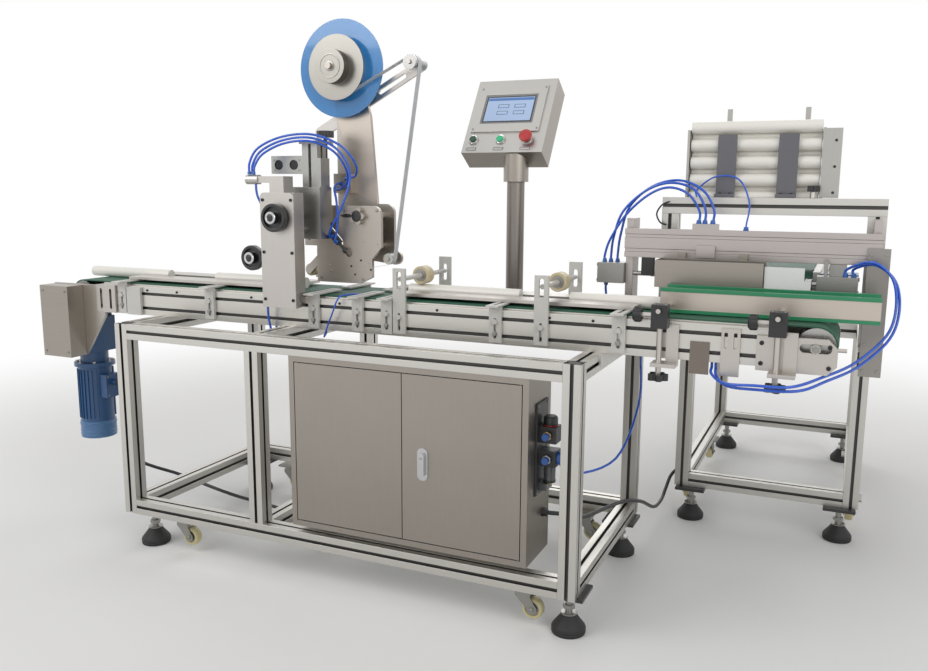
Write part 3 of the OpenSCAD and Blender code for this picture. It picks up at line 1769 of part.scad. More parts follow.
function unit(v) = v / norm(v);
function heading(route, i) =
  unit(route[min(i + 1, len(route) - 1)] - route[max(i - 1, 0)]);
function side_way(route, i) =
  let (t = heading(route, i), n = i == 0 ? [0.35, 0.9, 0.25] : side_way(route, i - 1))
  unit(n - (n * t) * t);
function ring(route, i, r) =
  let (n = side_way(route, i), b = cross(heading(route, i), n))
  [for (j = [0 : hose_sides - 1])
    route[i] + r * (cos(j * 360 / hose_sides) * n + sin(j * 360 / hose_sides) * b)];

module hose(route, r) {
  n = len(route);
  points = [for (i = [0 : n - 1]) each ring(route, i, r)];
  last = (n - 1) * hose_sides;
  walls = [for (i = [0 : n - 2], j = [0 : hose_sides - 1])
    let (a = i * hose_sides, b = a + hose_sides, k = (j + 1) % hose_sides)
    each [[a + j, b + j, b + k], [a + j, b + k, a + k]]];
  caps = [for (j = [1 : hose_sides - 2]) each [[0, j, j + 1], [last, last + j + 1, last + j]]];
  polyhedron(points = points, faces = concat(walls, caps));
}

// Routes on the tape head, to its press cylinder
head_arc = [[362, 130, 1006.5], [364, 132, 1034], [384, 142, 1066], [440, 160, 1092], [514, 170, 1096],
  [570, 196, 1070], [596, 216, 1010], [580, 202, 930], [546, 203, 875], [532, 216, 851], [532, 231, 851]];
head_link = [[530, 283, 985], [530, 262, 985], [537, 235, 973], [549, 225, 940], [553, 223, 890], [549, 220, 856],
  [544, 223, 838], [544, 231, 838]];

module head_hoses() {
  for (route = [head_arc, head_link])
    hose(route, hose_r);
}

// Routes on the frames
tower_hose = [[372, 130, 982], [376, 129, 955], [398, 128, 890], [398, 128, 680], [398, 136, 622], [398, 146, 606],
  [398, 156, 604], [398, 162, 611], [398, 162, 620]];
front_hose = [[552, 162, 620], [552, 162, 611], [558, 142, 606], [590, 129, 664], [606, 136, 706], [618, 158, 712],
  [630, 188, 711], [640, 188, 711]];
feed_arc = [[1423, 422, 896], [1423, 422, 926], [1396, 412, 966], [1352, 404, 980], [1304, 408, 962], [1250, 420, 915],
  [1210, 432, 855], [1195, 440, 815], [1195, 440, 797]];
supply_hose = [[1200, 440, 747], [1200, 440, 725], [1206, 444, 700], [1235, 452, 670], [1284, 456, 634], [1292, 452, 560], [1294, 440, 440],
  [1270, 320, 330], [1200, 180, 325], [1180, 118, 390], [1180, 103, 390]];
right_loop = [[1765, 395, 788], [1765, 395, 806], [1806, 372, 818], [1846, 362, 786], [1858, 352, 727],
  [1843, 320, 668], [1788, 250, 618], [1730, 160, 599], [1680, 92, 588], [1600, 88, 584], [1545, 108, 582],
  [1519, 140, 594], [1514, 160, 608], [1514, 160, 620]];
hopper_hose = [[1400, 515, 957], [1400, 515, 975], [1445, 495, 1006], [1500, 490, 1000], [1528, 480, 945],
  [1530, 424, 896], [1530, 424, 882]];
sensor_cable = [[1335, 500, 945], [1335, 492, 945], [1320, 487, 936], [1310, 486, 916], [1318, 488, 896],
  [1330, 493, 890], [1330, 500, 890]];
motor_cable = [[-224, 215, 396], [-211, 215, 396], [-203, 213, 370], [-203, 212, 300], [-185, 220, 170],
  [-100, 330, 88], [70, 350, 46], [300, 300, 50], [520, 160, 80], [592, 104, 116], [600, 100, 136], [600, 100, 156]];
frame_cable = [[1157, 110, 250], [1172, 110, 250], [1215, 240, 200], [1255, 440, 175], [1286, 540, 150],
  [1292, 700, 80], [1290, 820, 60], [1296, 930, 110], [1310, 950, 120], [1320, 950, 120]];

module air_hoses() {
  for (route = [tower_hose, feed_arc, supply_hose, right_loop, hopper_hose])
    hose(route, hose_r);
  hose(front_hose, thin_hose_r);
}

module cables() {
  hose(sensor_cable, thin_hose_r);
  for (route = [motor_cable, frame_cable])
    hose(route, cable_r);
}

// Moves a node into the shared frame, whose origin is under the front left foot
module place(shade) {
  translate([-foot_x, -foot_y, 0])
    color(shade)
      children();
}

place("silver") main_frame();
place("dimgray") levelling_feet();
place("silver") infeed_frame();
place("gray") caster_forks();
place("darkgray") cabinet_body();
place("royalblue") air_service_unit();
place("gainsboro") conveyor_beams();
place("seagreen") conveyor_belts();
place("lightgray") pulley_plates();
place("darkgray") drive_cover();
place("steelblue") gear_motor();
place("black") drive_chain();
place("whitesmoke") guide_brackets();
place("mediumseagreen") tube_guides();
place("whitesmoke") roller_brackets();
place("dimgray") guide_clamps();
place("ivory") product_tubes();
place("lightgray") tower();
place("lightsteelblue") hmi_post();
place("silver") gantry();
place("gray") infeed_conveyor();
place("silver") hopper_frame();
place("darkgray") feed_tray();
place("lightgray") air_cylinders();
place("blue") air_hoses();
place("black") cables();
place("slategray") drive_pulley();
place("slategray") tail_pulley();
place("slategray") motor_sprocket();
place("wheat") press_roller(press_xs[0]);  // press_roller_left
place("wheat") press_roller(press_xs[1]);  // press_roller_right
place("gainsboro") head_column();
place("lightgray") head_plates();
place("white") reel_ring([-half_tape, half_tape], roll_d / 2);  // tape_roll
place("dodgerblue") reel_ring([half_tape, half_tape + disc_t], disc_d / 2);  // reel_disc
place("silver") reel_flange();
place("gray") dancer_arm();
place("gray") head_roller(top_x, top_y, top_z, top_r);  // top_roller
place("white")  // lower_roller
  head_roller(lower_x, [-wheel_half, wheel_half], lower_z, peel_roller_r);
place("wheat") head_roller(wheel_x, [-wheel_half, wheel_half], wheel_z, wheel_r);  // tape_wheel
place("black") press_rod();
place("white") tape_strip();
place("blue") head_hoses();
place("black") front_handwheel();
place("black") side_handwheel();
place("black") height_knob();
place("lightslategray") cabinet_door_left();
place("slategray") cabinet_door_right();
place("white") door_latch();
place("lightgray") hmi_box();
place("red") estop_button();
place("lime") start_button();
place("green") stop_button();
place("white") pusher_rod();
place("white") side_rod();
place("slategray") infeed_drive_roller();
place("khaki") caster_pair([main_caster_xs[0]], main_caster_ys, 0);  // main_casters_left
place("khaki") caster_pair([main_caster_xs[1]], main_caster_ys, 0);  // main_casters_right
place("khaki") caster_pair(infeed_caster_xs, [infeed_front_y], 90);  // infeed_casters_front
place("khaki") caster_pair(infeed_caster_xs, [infeed_back_y], 90);  // infeed_casters_rear
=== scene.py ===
# Tube tape applicator: a belt conveyor on a slotted aluminium frame, with its tape head, console,
# control cabinet and hopper-fed infeed. Lengths are in metres, in the CAD part's frame.
import json
import math

import bpy
from mathutils import Euler, Matrix, Vector


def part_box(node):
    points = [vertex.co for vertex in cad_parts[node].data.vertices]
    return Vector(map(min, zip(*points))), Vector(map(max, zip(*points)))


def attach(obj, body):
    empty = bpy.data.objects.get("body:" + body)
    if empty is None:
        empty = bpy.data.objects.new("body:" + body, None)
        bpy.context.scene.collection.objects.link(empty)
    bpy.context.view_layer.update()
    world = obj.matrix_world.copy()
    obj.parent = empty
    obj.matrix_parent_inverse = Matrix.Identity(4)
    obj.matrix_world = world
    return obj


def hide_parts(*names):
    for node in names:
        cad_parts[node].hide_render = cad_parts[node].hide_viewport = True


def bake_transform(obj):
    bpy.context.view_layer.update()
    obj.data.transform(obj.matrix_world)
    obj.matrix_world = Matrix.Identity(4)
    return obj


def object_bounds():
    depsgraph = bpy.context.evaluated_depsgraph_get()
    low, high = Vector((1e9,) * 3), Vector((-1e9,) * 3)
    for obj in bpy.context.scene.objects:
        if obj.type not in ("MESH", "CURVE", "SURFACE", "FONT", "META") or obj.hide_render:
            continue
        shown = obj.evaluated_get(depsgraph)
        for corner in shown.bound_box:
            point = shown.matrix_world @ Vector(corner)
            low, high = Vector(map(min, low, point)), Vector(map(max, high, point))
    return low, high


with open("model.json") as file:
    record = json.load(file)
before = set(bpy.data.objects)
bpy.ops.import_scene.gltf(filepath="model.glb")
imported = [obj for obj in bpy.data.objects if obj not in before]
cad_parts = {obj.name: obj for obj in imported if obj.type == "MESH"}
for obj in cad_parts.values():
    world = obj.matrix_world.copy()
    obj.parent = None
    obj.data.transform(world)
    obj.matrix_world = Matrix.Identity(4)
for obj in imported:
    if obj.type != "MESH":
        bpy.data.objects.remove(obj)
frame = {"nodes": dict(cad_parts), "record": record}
cad_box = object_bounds()


# Camera: stands in front of the machine's right half, above the deck, and looks left and slightly down.
# Its place, lens and turn are those of the photograph.
eye_place = (1.711, -1.7446, 0.9749)
eye_pitch = math.radians(90 - 9.62)
eye_yaw = math.radians(24.0)
eye_roll = math.radians(0.34)
focal_px = 867.74
photo_px = 928
sensor_mm = 36

eye_data = bpy.data.cameras.new("eye")
eye_data.sensor_width = sensor_mm
eye_data.lens = focal_px / photo_px * sensor_mm
eye = bpy.data.objects.new("eye", eye_data)
eye_turn = Euler((eye_pitch, 0, eye_yaw)).to_matrix() @ Matrix.Rotation(eye_roll, 3, "Z")
eye.matrix_world = Matrix.Translation(eye_place) @ eye_turn.to_4x4()
bpy.context.scene.collection.objects.link(eye)
bpy.context.scene.camera = eye


# Floor: a wide pale disc that keeps the shadows near the machine and fades to white further out.
# The world is white to the eye and to gloss, and lights the machine more softly.
middle = (cad_box[0] + cad_box[1]) / 2
floor_r = 30.0
floor_drop = 0.0005
fade_near = 1.4
fade_far = 3.6
floor_grey = 0.86

bpy.ops.mesh.primitive_circle_add(vertices=96, radius=floor_r, fill_type="NGON",
                                  location=(middle.x, middle.y, -floor_drop))
bpy.ops.object.transform_apply(location=True)
floor = bpy.context.object
floor.name = "floor"
floor_paint = bpy.data.materials.new("floor_paint")
floor_paint.use_nodes = True
web = floor_paint.node_tree
web.nodes.clear()


def set_inputs(web, node, inputs):
    """Gives each named input of a shader node a value, or joins it to another node's output."""
    for name, value in inputs.items():
        if isinstance(value, bpy.types.NodeSocket):
            web.links.new(value, node.inputs[name])
        else:
            node.inputs[name].default_value = value


def add_node(web, kind, inputs, **settings):
    """Adds a shader node of this kind with its settings and inputs."""
    node = web.nodes.new("ShaderNode" + kind)
    for name, value in settings.items():
        setattr(node, name, value)
    set_inputs(web, node, inputs)
    return node


matt = add_node(web, "BsdfDiffuse", {"Color": (floor_grey, floor_grey, floor_grey, 1)})
glow = add_node(web, "Emission", {})
coords = add_node(web, "TexCoord", {})
off_middle = add_node(web, "VectorMath", {0: coords.outputs["Object"], 1: (middle.x, middle.y, 0)},
                      operation="SUBTRACT")
away = add_node(web, "VectorMath", {0: off_middle.outputs[0]}, operation="LENGTH")
fade = add_node(web, "MapRange", {"Value": away.outputs["Value"], "From Min": fade_near,
                                  "From Max": fade_far}, interpolation_type="SMOOTHSTEP")
ray = add_node(web, "LightPath", {})
seen = add_node(web, "Math", {0: ray.outputs["Is Camera Ray"], 1: ray.outputs["Is Glossy Ray"]},
                operation="MAXIMUM")
shown = add_node(web, "Math", {0: seen.outputs[0], 1: fade.outputs["Result"]}, operation="MULTIPLY")
mix = add_node(web, "MixShader", {"Fac": shown.outputs[0], 1: matt.outputs[0], 2: glow.outputs[0]})
add_node(web, "OutputMaterial", {"Surface": mix.outputs[0]})
floor.data.materials.append(floor_paint)

sky_tint = (1, 0.99, 0.975, 1)
sky_strength = 0.55
sky = bpy.context.scene.world or bpy.data.worlds.new("sky")
bpy.context.scene.world = sky
sky.use_nodes = True
web = sky.node_tree
web.nodes.clear()
soft = add_node(web, "Background", {"Color": sky_tint, "Strength": sky_strength})
white = add_node(web, "Background", {"Color": (1, 1, 1, 1)})
ray = add_node(web, "LightPath", {})
seen = add_node(web, "Math", {0: ray.outputs["Is Camera Ray"], 1: ray.outputs["Is Transmission Ray"]},
                operation="MAXIMUM")
through = add_node(web, "Math", {0: seen.outputs[0], 1: ray.outputs["Is Glossy Ray"]}, operation="MAXIMUM")
mix = add_node(web, "MixShader", {"Fac": through.outputs[0], 1: soft.outputs[0], 2: white.outputs[0]})
add_node(web, "OutputWorld", {"Surface": mix.outputs[0]})
bpy.context.scene.view_settings.view_transform = "Standard"

# Lamps: a broad one high in front at the left, a weaker one at the right, and one behind.
lamp_sets = {
    "left_lamp": ((-1.6, -2.6, 3.0), 2.4, 54),
    "right_lamp": ((3.6, -1.8, 2.4), 2.2, 32),
    "back_lamp": ((0.6, 3.4, 2.8), 2.6, 28),
}
aim = Vector((middle.x, middle.y, middle.z))
for lamp_name, (place, side, watts) in lamp_sets.items():
    lamp_data = bpy.data.lights.new(lamp_name, "AREA")
    lamp_data.size = side
    lamp_data.energy = watts
    lamp = bpy.data.objects.new(lamp_name, lamp_data)
    lamp.location = place
    lamp.rotation_euler = (aim - Vector(place)).to_track_quat("-Z", "Y").to_euler()
    bpy.context.scene.collection.objects.link(lamp)


# Hoses and cables: blue polyurethane air hose and black cable, each one smooth curve along the route
# of its CAD solid, from the fitting it leaves to the fitting it enters.
corner = Vector((0.046, 0.06, 0))
mm = 0.001


def spot(x, y, z):
    """A point given in millimetres from the main frame's front left corner on the floor."""
    return Vector((x, y, z)) * mm - corner


def smooth_route(points, steps):
    """Points on one smooth line through the given points."""
    line = []
    ends = [points[0] * 2 - points[1]] + points + [points[-1] * 2 - points[-2]]
    for a, b, c, d in zip(ends, ends[1:], ends[2:], ends[3:]):
        for i in range(steps):
            t = i / steps
            line.append((b * 2 + (c - a) * t + (a * 2 - b * 5 + c * 4 - d) * t ** 2
                         + (b * 3 - a - c * 3 + d) * t ** 3) / 2)
    return line + [points[-1]]


def set_shader(paint, inputs):
    """Sets or joins these inputs of a material's shader."""
    set_inputs(paint.node_tree, paint.node_tree.nodes["Principled BSDF"], inputs)


def shade(colour, share):
    """A colour made darker or lighter."""
    return [min(c * share, 1) for c in colour] + [1]


def hose_paint(name, colour, roughness, clear):
    """Extruded plastic: a smooth coloured wall with faint waviness along it."""
    wave_scale, wave_tint, wave_dull = 60, 0.18, 0.06
    paint = bpy.data.materials.new(name)
    paint.use_nodes = True
    web = paint.node_tree
    coords = add_node(web, "TexCoord", {})
    wave = add_node(web, "TexNoise", {"Vector": coords.outputs["Object"], "Scale": wave_scale})
    waves = wave.outputs["Fac"]
    tone = add_node(web, "Mix", {"Factor": waves, "A": shade(colour, 1 - wave_tint),
                                 "B": shade(colour, 1 + wave_tint)}, data_type="RGBA")
    dull = add_node(web, "MapRange", {"Value": waves, "To Min": roughness - wave_dull,
                                      "To Max": roughness + wave_dull})
    set_shader(paint, {"Coat Weight": clear, "Base Color": tone.outputs["Result"],
                       "Roughness": dull.outputs["Result"]})
    return paint


def hose_curve(name, line, radius, paint):
    """A round curve along a smooth line of points."""
    data = bpy.data.curves.new(name, "CURVE")
    data.dimensions = "3D"
    data.bevel_depth = radius
    data.bevel_resolution = 4
    data.use_fill_caps = True
    spline = data.splines.new("POLY")
    spline.points.add(len(line) - 1)
    for point, place in zip(spline.points, line):
        point.co = (*place, 1)
    spline.use_smooth = True
    data.materials.append(paint)
    piece = bpy.data.objects.new(name, data)
    bpy.context.scene.collection.objects.link(piece)
    return piece


def declare_cord(piece, line, radius, slot, stands_for, **more):
    """Hides the CAD solid that a hose stands for."""
    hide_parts(stands_for)


def hose(name, points, radius, paint, slot, body, stands_for):
    """One hose as a round curve that rides on one body."""
    line = smooth_route([spot(*p) for p in points], route_steps)
    piece = hose_curve(name, line, radius, paint)
    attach(piece, body)
    declare_cord(piece, line, radius, slot, stands_for)


air_blue = hose_paint("blue_air_hose", (0.01, 0.1, 0.6), 0.28, 0.4)
cable_black = hose_paint("black_cable_jacket", (0.018, 0.018, 0.02), 0.45, 0.1)
route_steps = 6
air_r = 0.003
thin_r = 0.002
cable_r = 0.005
air_routes = {
    "tower_hose": ([(372, 130, 982), (376, 129, 955), (398, 128, 890), (398, 128, 680), (398, 136, 622),
                    (398, 146, 606), (398, 156, 604), (398, 162, 611), (398, 162, 620)], air_r),
    "feed_hose": ([(1423, 422, 896), (1423, 422, 926), (1396, 412, 966), (1352, 404, 980), (1304, 408, 962),
                   (1250, 420, 915), (1210, 432, 855), (1195, 440, 815), (1195, 440, 797)], air_r),
    "feed_hose_outer": ([(1437, 422, 896), (1436, 422, 932), (1408, 420, 976), (1354, 416, 991),
                         (1296, 418, 972), (1240, 428, 922), (1216, 440, 860), (1209, 447, 815),
                         (1209, 447, 797)], air_r),
    "feed_hose_right": ([(1455, 422, 896), (1456, 422, 930), (1428, 425, 974), (1372, 428, 997),
                         (1308, 430, 982), (1254, 437, 934), (1232, 446, 868), (1225, 450, 818),
                         (1225, 450, 797)], air_r),
    "supply_hose": ([(1200, 440, 747), (1200, 440, 725), (1206, 444, 700), (1235, 452, 670), (1284, 456, 634),
                     (1292, 452, 560), (1294, 440, 440), (1270, 320, 330), (1200, 180, 325),
                     (1180, 118, 390), (1180, 103, 390)], air_r),
    "right_hose": ([(1765, 395, 788), (1765, 395, 806), (1806, 372, 818), (1846, 362, 786), (1858, 352, 727),
                    (1843, 320, 668), (1788, 250, 618), (1730, 160, 599), (1680, 92, 588), (1600, 88, 584),
                    (1545, 108, 582), (1519, 140, 594), (1514, 160, 608), (1514, 160, 620)], air_r),
    "right_hose_inner": ([(1748, 395, 788), (1752, 392, 806), (1800, 364, 824), (1840, 354, 792),
                          (1851, 344, 731), (1836, 312, 675), (1780, 240, 626), (1722, 150, 608),
                          (1668, 82, 597), (1600, 79, 594), (1540, 98, 589), (1509, 138, 598),
                          (1506, 160, 608), (1506, 160, 620)], air_r),
    "hopper_hose": ([(1400, 515, 957), (1400, 515, 975), (1445, 495, 1006), (1500, 490, 1000),
                     (1528, 480, 945), (1530, 424, 896), (1530, 424, 882)], thin_r),
    "front_hose": ([(552, 162, 620), (552, 162, 611), (558, 142, 606), (590, 129, 664), (606, 136, 706),
                    (618, 158, 712), (630, 188, 711), (640, 188, 711)], thin_r),
}
for route_name, (points, radius) in air_routes.items():
    hose(route_name, points, radius, air_blue, "blue_hose", "machine", "air_hoses")

head_routes = {
    "head_hose_arc": [(362, 130, 1006.5), (364, 132, 1034), (384, 142, 1066), (440, 160, 1092),
                      (514, 170, 1096), (570, 196, 1070), (596, 216, 1010), (580, 202, 930), (546, 203, 875),
                      (532, 216, 851), (532, 231, 851)],
    "head_hose_link": [(530, 283, 985), (530, 262, 985), (537, 235, 973), (549, 225, 940), (553, 223, 890),
                       (549, 220, 856), (544, 223, 838), (544, 231, 838)],
    "head_hose_arc_outer": [(356, 126, 1006.5), (357, 128, 1037), (378, 138, 1073), (438, 157, 1100),
                            (519, 168, 1104), (581, 196, 1078), (607, 224, 1035), (590, 252, 1006),
                            (556, 264, 999), (546, 272, 998), (546, 283, 998)],
    "head_hose_arc_inner": [(368, 128, 1006.5), (370, 132, 1030), (390, 142, 1059), (442, 160, 1084),
                            (510, 172, 1088), (560, 198, 1064), (580, 224, 1020), (566, 250, 988),
                            (540, 262, 974), (518, 272, 972), (518, 283, 972)],
}
hose("head_hose_link", head_routes.pop("head_hose_link"), air_r, air_blue, "blue_hose", "head", "head_hoses")


def pick(*objects):
    """Selects just these objects and makes the first one active."""
    bpy.ops.object.select_all(action="DESELECT")
    for o in objects:
        o.select_set(True)
    bpy.context.view_layer.objects.active = objects[0]


def bending_hose(name, line):
    """A stretch of hose between two bodies which slide past each other, made as a fixed tube mesh."""
    piece = hose_curve(name, line, air_r, air_blue)
    pick(piece)
    bpy.ops.object.convert(target="MESH")
    declare_cord(piece, line, air_r, "blue_hose", "head_hoses", path=[tuple(p) for p in line])
    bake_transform(piece)


column_stop = 3
for route_name, points in head_routes.items():
    line = smooth_route([spot(*p) for p in points], route_steps)
    stop = spot(*points[column_stop])
    meet = min(range(len(line)), key=lambda i: (line[i] - stop).length)
    bending_hose(route_name, line[:meet + 1])
    bending_hose(route_name + "_over", line[meet:])

cable_routes = {
    "sensor_cable": ([(1335, 500, 945), (1335, 492, 945), (1320, 487, 936), (1310, 486, 916),
                      (1318, 488, 896), (1330, 493, 890), (1330, 500, 890)], thin_r),
    "motor_cable": ([(-224, 215, 396), (-211, 215, 396), (-203, 213, 370), (-203, 212, 300), (-185, 220, 170),
                     (-100, 330, 88), (70, 350, 46), (300, 300, 50), (520, 160, 80), (592, 104, 116),
                     (600, 100, 136), (600, 100, 156)], cable_r),
    "frame_cable": ([(1157, 110, 250), (1169, 111, 249), (1184, 124, 245), (1197, 156, 234), (1215, 240, 200),
                     (1255, 440, 175), (1286, 540, 150), (1292, 700, 80), (1290, 820, 60), (1292, 876, 78),
                     (1297, 918, 104), (1307, 942, 117), (1320, 950, 120)],
                    cable_r),
}
for route_name, (points, radius) in cable_routes.items():
    hose(route_name, points, radius, cable_black, "black_rubber", "machine", "cables")


# Frames: square slotted aluminium profile, extruded and anodised a warm light grey, cut square and
# bolted at the corners, with a black plastic cap on each leg's top end.
def metal_paint(name, colour, roughness, stretch, scale, tint, depth):
    """Bare or finely worked metal: a grain that runs along one way in tone, gloss and height."""
    grain_detail, cloud_scale, cloud_share, bump_strength = 5, 5, 0.4, 0.35
    more_gloss, less_gloss = 0.07, 0.09
    paint = bpy.data.materials.new(name)
    paint.use_nodes = True
    web = paint.node_tree
    place = add_node(web, "TexCoord", {}).outputs["Object"]
    along = add_node(web, "Mapping", {"Vector": place, "Scale": stretch})
    grain = add_node(web, "TexNoise", {"Vector": along.outputs["Vector"], "Scale": scale,
                                       "Detail": grain_detail}).outputs["Fac"]
    cloud = add_node(web, "TexNoise", {"Vector": place, "Scale": cloud_scale})
    faint = add_node(web, "Math", {0: cloud.outputs["Fac"], 1: cloud_share}, operation="MULTIPLY")
    both = add_node(web, "Math", {0: grain, 1: 1 - cloud_share, 2: faint.outputs[0]},
                    operation="MULTIPLY_ADD")
    tone = add_node(web, "Mix", {"Factor": both.outputs[0], "A": shade(colour, 1 - tint),
                                 "B": shade(colour, 1 + tint)}, data_type="RGBA")
    gloss = add_node(web, "MapRange", {"Value": grain, "To Min": roughness - more_gloss,
                                       "To Max": roughness + less_gloss})
    bump = add_node(web, "Bump", {"Height": grain, "Strength": bump_strength, "Distance": depth})
    set_shader(paint, {"Metallic": 1.0, "Base Color": tone.outputs["Result"],
                       "Roughness": gloss.outputs["Result"], "Normal": bump.outputs["Normal"]})
    return paint


def plain_paint(name, colour, roughness, scale, tint, depth, coat):
    """Paint, moulded plastic or rubber: a fine skin texture and a faint change of tone."""
    paint = metal_paint(name, colour, roughness, no_grain, scale, tint, depth)
    set_shader(paint, {"Metallic": 0.0, "Coat Weight": coat})
    return paint


def body_of_node(node):
    """The CAD body that a node belongs to."""
    bodies = frame["record"]["behaviour"]["bodies"]
    return next(name for name, members in bodies.items() if node in members)


no_grain = (1, 1, 1)
grain_x = (0.03, 1, 1)
grain_y = (1, 0.03, 1)
grain_z = (1, 1, 0.03)
edge_angle = math.radians(32)


def worked(node, paint, edge):
    """A finished copy of a CAD node, with its edges broken by a small bevel, that stands for the node."""
    source = frame["nodes"][node]
    piece = bpy.data.objects.new(node + "_finished", source.data.copy())
    bpy.context.scene.collection.objects.link(piece)
    piece.data.materials.clear()
    piece.data.materials.append(paint)
    pick(piece)
    bpy.ops.object.mode_set(mode="EDIT")
    bpy.ops.mesh.select_all(action="SELECT")
    bpy.ops.mesh.remove_doubles(threshold=0.000002)
    bpy.ops.mesh.dissolve_limited(angle_limit=math.radians(0.6))
    bpy.ops.object.mode_set(mode="OBJECT")
    if edge:
        bevel = piece.modifiers.new("edge", "BEVEL")
        bevel.width = edge
        bevel.segments = 2
        bevel.limit_method = "ANGLE"
        bevel.angle_limit = edge_angle
        bpy.ops.object.modifier_apply(modifier="edge")
    bpy.ops.object.shade_smooth_by_angle(angle=edge_angle)
    even = piece.modifiers.new("even", "WEIGHTED_NORMAL")
    even.keep_sharp = True
    bpy.ops.object.modifier_apply(modifier="even")
    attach(piece, body_of_node(node))
    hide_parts(node)
    return piece


def repaint(piece, paint, choose):
    """Gives another finish to the faces whose middle and normal the rule chooses."""
    if paint.name not in piece.data.materials:
        piece.data.materials.append(paint)
    place = piece.data.materials.find(paint.name)
    for face in piece.data.polygons:
        if choose(face.center + corner, face.normal):
            face.material_index = place


anodised = metal_paint("anodised_profile", (0.59, 0.572, 0.535), 0.36, no_grain, 320, 0.05, 0.00008)
cap_black = plain_paint("black_plastic", (0.02, 0.02, 0.022), 0.42, 700, 0.12, 0.00005, 0.1)
zinc = metal_paint("zinc_plated_steel", (0.33, 0.325, 0.305), 0.3, no_grain, 260, 0.1, 0.00005)
frame_top = 0.6199
cap_t = 0.0012
leg_w = 0.04
main_l = 1.27
main_w = 0.59

slot_dark = metal_paint("slot_in_shadow", (0.105, 0.102, 0.098), 0.55, no_grain, 320, 0.1, 0.00004)
slot_skin = 0.0188


def in_slot(centre, middles, low, high):
    """True where a point lies under the skin of one of the profiles with these middle lines."""
    for axis, lines in middles.items():
        across = [i for i in range(3) if i != axis]
        if not low[axis] < centre[axis] < high[axis]:
            continue
        for line in lines:
            if all(abs(centre[a] - m) < slot_skin for a, m in zip(across, line)):
                return True
    return False


main_lines = {
    0: [(0.02, 0.12), (0.02, 0.6), (0.57, 0.12), (0.57, 0.6)],
    1: [(0.02, 0.12), (0.02, 0.6), (0.437, 0.12), (0.437, 0.6), (1.25, 0.12), (1.25, 0.6)],
    2: [(0.02, 0.02), (0.02, 0.57), (1.25, 0.02), (1.25, 0.57), (0.437, 0.02), (0.437, 0.57)],
}
infeed_lines = {
    0: [(0.88, 0.12), (1.68, 0.12), (0.88, 0.6), (1.68, 0.6)],
    1: [(1.34, 0.12), (1.805, 0.12), (1.34, 0.6), (1.805, 0.6)],
    2: [(1.34, 0.88), (1.34, 1.68), (1.805, 0.88), (1.805, 1.68)],
}
main_frame = worked("main_frame", anodised, 0.0006)
repaint(main_frame, slot_dark, lambda c, n: in_slot(c, main_lines, (0, 0, 0.1), (main_l, main_w, 0.62)))
repaint(main_frame, cap_black,
        lambda c, n: n.z > 0.9 and c.z > frame_top - cap_t and (c.x < leg_w or main_l - leg_w < c.x < main_l)
        and (c.y < leg_w or c.y > main_w - leg_w))
infeed_frame = worked("infeed_frame", anodised, 0.0006)
repaint(infeed_frame, slot_dark, lambda c, n: in_slot(c, infeed_lines, (1.32, 0.1, 0.1), (1.83, 1.7, 0.62)))


# Feet: moulded black rubber pads on zinc-plated stems, each screwed through a black steel plate under
# a leg and held by a lock nut with a washer.
def finish(piece, name, paint, body="machine", stands_for=None):
    """Names a new piece, gives it its finish and says what it rides on."""
    piece.name = name
    piece.data.name = name
    piece.data.materials.clear()
    piece.data.materials.append(paint)
    pick(piece)
    bpy.ops.object.shade_smooth_by_angle(angle=edge_angle)
    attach(piece, body)
    if stands_for:
        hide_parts(stands_for)
    return piece


to_top = (0, 0, 1)


def turned(outline, place, way, sides=40):
    """A lathe-turned shape: a disc drawn out ring by ring along its axis, in millimetres."""
    bpy.ops.object.select_all(action="DESELECT")
    r, z = outline[0]
    bpy.ops.mesh.primitive_circle_add(vertices=sides, radius=r * mm, fill_type="NGON", location=(0, 0, 0))
    piece = bpy.context.object
    bpy.ops.object.mode_set(mode="EDIT")
    bpy.ops.transform.translate(value=(0, 0, z * mm))
    for next_r, next_z in outline[1:]:
        bpy.ops.mesh.extrude_region_move(TRANSFORM_OT_translate={"value": (0, 0, (next_z - z) * mm)})
        bpy.ops.transform.resize(value=(next_r / r, next_r / r, 1), center_override=(0, 0, 0))
        r, z = next_r, next_z
    bpy.ops.mesh.select_all(action="SELECT")
    bpy.ops.mesh.normals_make_consistent(inside=False)
    bpy.ops.object.mode_set(mode="OBJECT")
    turn = Vector((0, 0, 1)).rotation_difference(Vector(way))
    piece.matrix_world = Matrix.Translation(spot(*place)) @ turn.to_matrix().to_4x4()
    bpy.ops.object.transform_apply(location=True, rotation=True, scale=True)
    return piece


def joined(pieces):
    """Makes one piece of several."""
    pick(*pieces)
    if len(pieces) > 1:
        bpy.ops.object.join()
    return pieces[0]


def copied(piece, shift):
    """A copy with its own mesh, moved by millimetres."""
    twin = piece.copy()
    twin.data = piece.data.copy()
    bpy.context.scene.collection.objects.link(twin)
    twin.location = Vector(shift) * mm
    pick(twin)
    bpy.ops.object.transform_apply(location=True)
    return twin


def repeated(outline, places, way, sides=40):
    """One turned shape and its copies, one at each place, as one piece."""
    first = turned(outline, places[0], way, sides)
    rest = [copied(first, [b - a for a, b in zip(places[0], place)]) for place in places[1:]]
    return joined([first] + rest)


